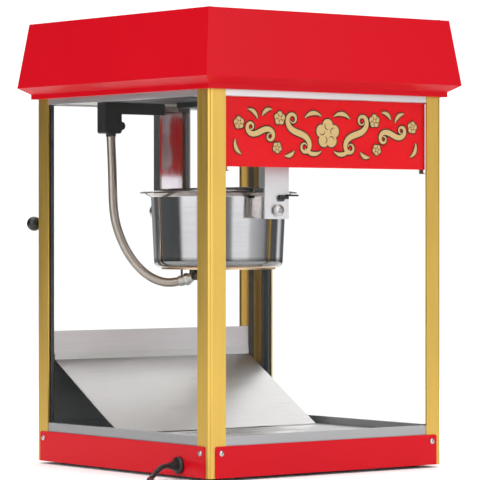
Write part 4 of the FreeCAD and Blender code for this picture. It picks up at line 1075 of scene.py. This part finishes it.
def make_strain_relief(looks):
    """The cord's entry: a collar and a tapered sleeve with flexing grooves."""
    low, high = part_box("strain_relief")
    centre = (0, (low[1] + high[1]) / 2, (low[2] + high[2]) / 2)
    wide = (high[2] - low[2]) / 2 / MM
    start, end = low[0] / MM, high[0] / MM
    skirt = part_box("side_skirts")[0][0] / MM
    long_ = skirt - 5 - start
    outline = [(0, start), (5.0, start), (5.5, start + 0.6)]
    grooves = 5
    for number in range(grooves):
        base = start + 1.5 + (long_ - 3) * number / grooves
        step = (long_ - 3) / grooves
        swell = 5.5 + 2.6 * number / grooves
        outline += [(swell, base), (swell + 0.3, base + 0.58 * step),
                    (swell - 0.9, base + 0.64 * step), (swell - 0.8, base + 0.92 * step)]
    outline += [(8.3, start + long_ - 1.2), (wide - 2.2, start + long_ - 0.6),
                (wide - 0.5, start + long_ + 0.4), (wide, start + long_ + 1.4), (wide, skirt - 0.1),
                (8.2, skirt - 0.1), (8.2, end), (0, end)]

    def fill(shape):
        spin_outline(shape, in_metres(outline), centre, RIGHT, 48)

    piece = mesh_piece("cord_sleeve", fill, looks["cord"], "cabinet")
    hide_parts("strain_relief")


def make_hinge_screws(looks):
    """Countersunk screws in the door's hinge leaves."""
    hinge_heights = (290, 540)
    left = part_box("hinge_leaves")[0][0]
    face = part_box("door_stile")[1][1] + 2 * MM

    def fill(shape):
        for number, middle in enumerate(hinge_heights):
            for shift in (-13, 13):
                for step, x in enumerate((left + 6 * MM, left + 17 * MM)):
                    screw_head(shape, (x, face, (middle + shift) * MM), BACK, 2.6 * MM,
                               0.6 * MM, 31 * (number + step) + shift)

    piece = mesh_piece("hinge_screws", fill, looks["chrome"], "door")


def make_bulb(looks):
    """The lamp: a blown globe on its neck."""
    low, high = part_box("lamp_bulb")
    centre = ((low[0] + high[0]) / 2, (low[1] + high[1]) / 2, 0)
    radius = (high[0] - low[0]) / 2 / MM
    top, bottom = high[2] / MM, low[2] / MM
    middle = bottom + radius
    outline = [(0, bottom)] + arc((0, middle), radius, -84, 120, 20)
    outline += [(15.6, top - 14), (13.6, top - 8), (13.0, top - 3), (13.0, top), (0, top)]

    def fill(shape):
        spin_outline(shape, in_metres(outline), centre, UP, 56)

    piece = mesh_piece("globe_bulb", fill, looks["bulb"], "cabinet")
    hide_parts("lamp_bulb")


# ---------------------------------------------------------------- conduit

def conduit_route():
    start = Vector((-0.187, 0.115, 0))
    ahead = (Vector((-0.085, 0, 0)) - start).normalized()
    shape = [
        (7.5, 550), (8.4, 527), (9.7, 497), (10.4, 467), (11.2, 438), (14, 412), (21.3, 387),
        (32.5, 362), (48, 339), (67.5, 320), (89, 309), (112, 305.5), (133, 311.5),
    ]
    return [start + ahead * along * MM + Vector((0, 0, high * MM)) for along, high in shape]


def make_conduit(looks):
    """Interlocked steel strip conduit: shallow turns along a smooth line."""
    route = conduit_route()
    guide = nurbs_curve("conduit_guide", route)
    line = curve_line(guide)
    bpy.data.objects.remove(guide)
    pitch = 3.0 * MM
    steps_per_turn = 6
    points = evenly(line, pitch / steps_per_turn)
    crest, flank, root = 7.5, 7.42, 7.2
    profile = (crest, crest, flank, root, root, flank)
    radii = [profile[i % steps_per_turn] * MM for i in range(len(points))]
    conduit = mesh_piece(
        "ribbed_conduit", lambda shape: tube_along(shape, points, radii, 24),
        looks["conduit"], None,
    )
    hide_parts("conduit")
    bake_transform(conduit)


# ---------------------------------------------------------------- power cord

def cord_route():
    """The stretch from the skirt to the coil."""
    tip = -263.0
    along = -164.0
    floor = 4.25
    points = [
        (tip, along, 22), (tip - 13, along, 22), (tip - 27, along - 4, 14.5),
        (tip - 41, along - 11, 6.8), (tip - 56, along - 23, floor), (tip - 70, along - 45, floor),
        (tip - 80, along - 80, floor), (tip - 86, along - 122, floor),
        (tip - 84, along - 168, floor), (tip - 79, along - 214, floor),
        (tip - 80, along - 260, floor), (tip - 86, along - 304, floor),
    ]
    return [Vector(point) * MM for point in points]


def coil_turns():
    """Four and a quarter turns: inwards on the floor, then outwards on top of those."""
    points = []
    per_turn = 14
    low, high = 4.4 * MM, 12.0 * MM
    inward, outward = 2.5, 1.75
    outermost, innermost = 55.6, 34.1 + 4.2
    for step in range(int((inward + outward) * per_turn) + 1):
        turn = step / per_turn
        angle = math.pi + 2 * math.pi * turn
        if turn <= inward:
            radius = (outermost - 8.6 * turn) * MM
            level = low
        else:
            radius = (innermost + 8.2 * (turn - inward)) * MM
            level = low + (high - low) * min(1.0, (turn - inward) * 3.0)
        points.append(
            Vector((COIL[0] + radius * math.cos(angle), COIL[1] + radius * math.sin(angle), level))
        )
    return points


def tail_route():
    x, y = COIL[0] / MM, COIL[1] / MM
    points = [(x + 22, y - 54, 10.5), (x + 40, y - 58, 10.5), (x + 56, y - 60, 11)]
    return [Vector(point) * MM for point in points]


def make_cord(looks):
    points = cord_route() + coil_turns() + tail_route()
    cord = nurbs_curve("mains_cord", points)
    cord.data.bevel_depth = CORD_RADIUS
    cord.data.bevel_resolution = 5
    cord.data.materials.append(looks["cord"])
    line = curve_line_without_bevel(cord)
    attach(cord, "cabinet")
    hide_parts("power_cord", "cord_coil", "cord_tail")


# ---------------------------------------------------------------- build

make_camera()
looks = make_materials()
make_studio()
dress_nodes(looks)
for make in (
    make_cord, make_conduit, make_screws, make_sign_ornament, make_sign_clips, make_seals,
    make_pivot_knob, make_kettle_fitting, make_channel_facing, make_outlet, make_door_knob,
    make_lids, make_rocker_marks, make_strain_relief, make_hinge_screws, make_bulb,
):
    make(looks)
